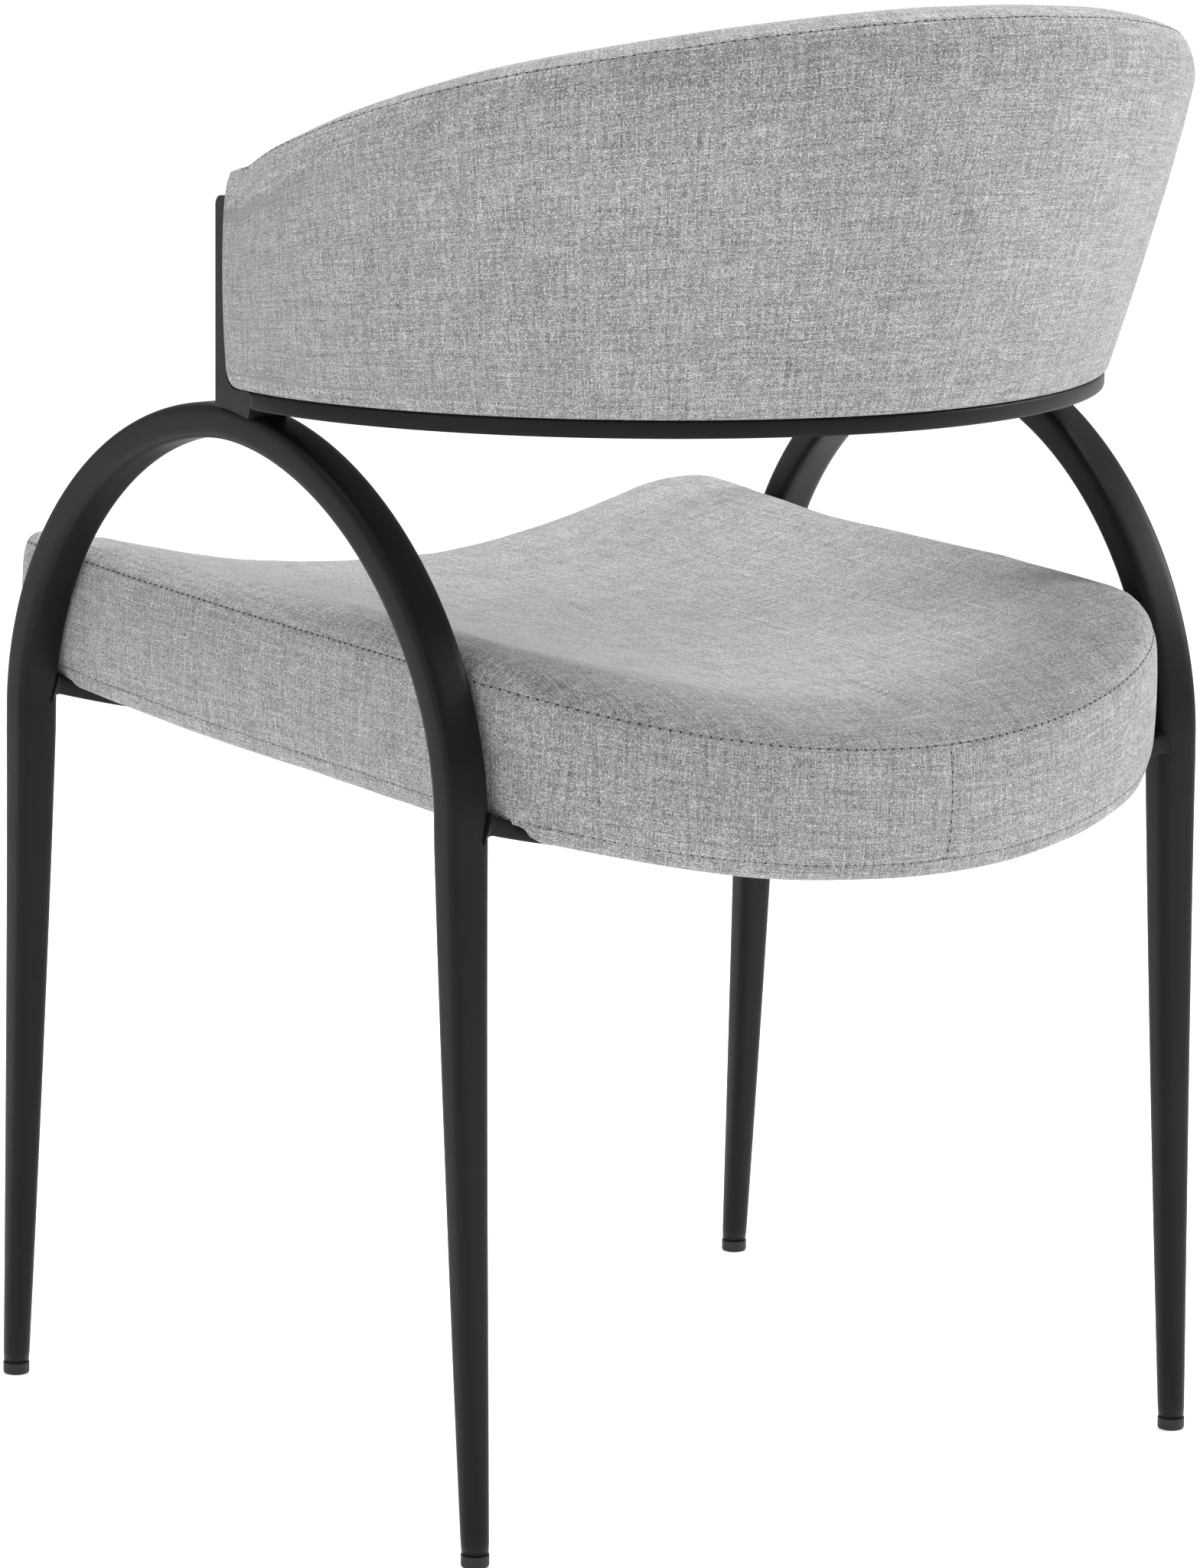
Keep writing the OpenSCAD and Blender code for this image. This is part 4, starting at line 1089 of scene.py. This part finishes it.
def build_back():
    soft, soft_rows, soft_region, kr, kf, end = back_net(True)
    pin = np.zeros(soft.shape[:2])
    pin[:, [0, 1, 2, kr, kf]] = 1
    pin[:, soft_region == "under"] = 1
    for ends in (slice(None, end), slice(-end, None)):
        pin[ends] = np.maximum(pin[ends], 0.9)
    move = puff(soft, pin, 2.6, 4.0)
    P, rows, region, k_rear, k_front, end = back_net(False)
    m, n = P.shape[:2]
    # the simulated movement, carried from the coarse net's columns and rows to the fine one's
    at, share = np.append(section_share(soft), 1), section_share(P)
    wide = np.empty((len(soft), n, 3))
    for i in range(len(soft)):
        for k in range(3):
            wide[i, :, k] = np.interp(share, at, np.append(move[i, :, k], move[i, 0, k]))
    P = P + along_rows(wide, soft_rows, rows) * 0.7
    normal = normals_of(P)
    mid_row = m // 2
    if normal[mid_row, 20, 1] < 0:
        normal = -normal
    s = arc_length(P[mid_row])
    k_row = k_rear + STRIP.index(ROW)
    wave = np.sin(rows / 5.8 * 2 * np.pi)
    depth = np.zeros((m, n))
    for k, deep in ((k_rear, 0.8), (k_row, 0.26), (k_front, 0.9)):
        depth += seam_depth(np.abs(s - s[k])[None, :], deep, 1.0, wave[:, None])
    broad = noise_field(P, 110, 5.0) + noise_field(P, 38, 2.0) * 0.3
    near = np.exp(-((np.abs(s - s[k_rear])[None, :] / 9) ** 2)) * noise_field(P, 14, 17.0) * 0.4
    # the cloth stays put where it rests on the rail, and smooth at its two ends
    hold = np.where(region == "under", 0.0, 1.0)
    hold[:5] = 0
    free = np.ones(m)
    free[:end] = free[-end:] = 0
    free = np.convolve(np.pad(free, 6, mode="edge"), np.ones(13) / 13, "valid")
    groove = depth * hold[None, :] * np.clip(free + 0.3, 0, 1)[:, None]
    P = P - normal * groove[..., None] + normal * ((broad + near) * hold[None, :] * free[:, None])[..., None]
    faces, ci, cj = grid_faces(m, n)
    v_len = np.append(s, s[-1] + np.linalg.norm(P[mid_row][0] - P[mid_row][-1]))
    verts, fans = with_ends(P), end_fans(m, n)
    uv = np.stack([rows[ci], v_len[cj]], -1).reshape(-1, 2)
    uvs = (np.concatenate([uv, verts[np.ravel(fans)][:, [0, 2]]]) + 2 * WEAVE_SHIFT) * MM
    o = outward(new_object("back_cushion", verts, list(faces) + fans, CLOTH, uvs))
    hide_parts("back_foam", "back_rear_pad", "back_rear_panel", "back_top_strip", "back_front_panel",
                "back_end_panels")
    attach(o, "root")
    sewn = slice(end - 2, m - end + 2)
    for name, k, pitch, size, off in (
        ("back_rear_stitches", k_rear, 5.8, 0.55, 0.12),
        ("back_second_stitches", k_row, 4.6, 0.22, -0.05),
        ("back_front_stitches", k_front, 5.8, 0.55, 0.12),
    ):
        stitches(name, P[sewn, k] + normal[sewn, k] * off, normal[sewn, k], pitch, size)


build_back()

kept("seat_board", WOOD)
kept("back_board", WOOD)
kept("back_tabs", STEEL)
kept("back_screws", ZINC)
kept("seat_tee_nuts", ZINC)


# ---------------------------------------------------------------- studio
WORLD_STRENGTH = 0.47
FLOOR_HALF = 30  # metres
FLOOR_GLOW = 0.60
# name, place and size in metres, power in watts
LIGHTS = (
    ("key", (-3.2, 1.1, 2.2), 1.6, 98),
    ("fill", (2.9, 0.6, 1.6), 2.0, 16),
    ("top", (-0.3, -0.6, 3.4), 2.2, 92),
)


def studio():
    t = Tree("studio_floor")
    t.set(Base_Color=(0.86, 0.86, 0.86, 1), Roughness=0.9, Specular_IOR_Level=0.05, Emission_Color=(1, 1, 1, 1),
          Emission_Strength=FLOOR_GLOW)
    f = FLOOR_HALF
    me = bpy.data.meshes.new("floor")
    me.from_pydata([(-f, -f, 0), (f, -f, 0), (f, f, 0), (-f, f, 0)], [], [(0, 1, 2, 3)])
    me.materials.append(t.mat)
    floor = linked("floor", me)
    w = bpy.data.worlds.new("studio")
    bpy.context.scene.world = w
    w.use_nodes = True
    w.node_tree.nodes["Background"].inputs[0].default_value = (1, 1, 1, 1)
    w.node_tree.nodes["Background"].inputs[1].default_value = WORLD_STRENGTH
    for name, at, size, power in LIGHTS:
        li = bpy.data.lights.new(name, "AREA")
        li.size = size
        li.energy = power
        o = linked(name, li)
        o.location = at
        o.rotation_euler = (Vector((0, 0, 0.5)) - Vector(at)).to_track_quat("-Z", "Y").to_euler()


# Angles in degrees, distance in millimetres, focal length and image centre in pixels of the full picture
VIEW = dict(azimuth=145.16, elevation=10.33, distance=3774, lens_px=8487.5, x_px=789.3, y_px=953.9, roll=0.625)
PICTURE_W, PICTURE_H = 1568, 2048
LOOK_AT = (0, -0.04, 0.4)
SENSOR = 36


def camera():
    a, e, r = (math.radians(VIEW[k]) for k in ("azimuth", "elevation", "roll"))
    back = Vector((math.sin(a) * math.cos(e), -math.cos(a) * math.cos(e), math.sin(e)))
    level = Vector((math.cos(a), math.sin(a), 0))
    upright = back.cross(level)
    right = level * math.cos(r) + upright * math.sin(r)
    up = upright * math.cos(r) - level * math.sin(r)
    at = Vector(LOOK_AT) + back * VIEW["distance"] * MM
    c = bpy.data.cameras.new("view")
    o = linked("view", c)
    o.matrix_world = Matrix([(right[k], up[k], back[k], at[k]) for k in range(3)] + [(0, 0, 0, 1)])
    c.sensor_width = SENSOR
    c.lens = VIEW["lens_px"] / PICTURE_H * SENSOR
    c.shift_x = (PICTURE_W / 2 - VIEW["x_px"]) / PICTURE_H
    c.shift_y = (VIEW["y_px"] - PICTURE_H / 2) / PICTURE_H
    c.clip_start, c.clip_end = 0.1, 60
    bpy.context.scene.camera = o


studio()
camera()
sc = bpy.context.scene
sc.view_settings.view_transform = "Standard"
sc.view_settings.look = "None"
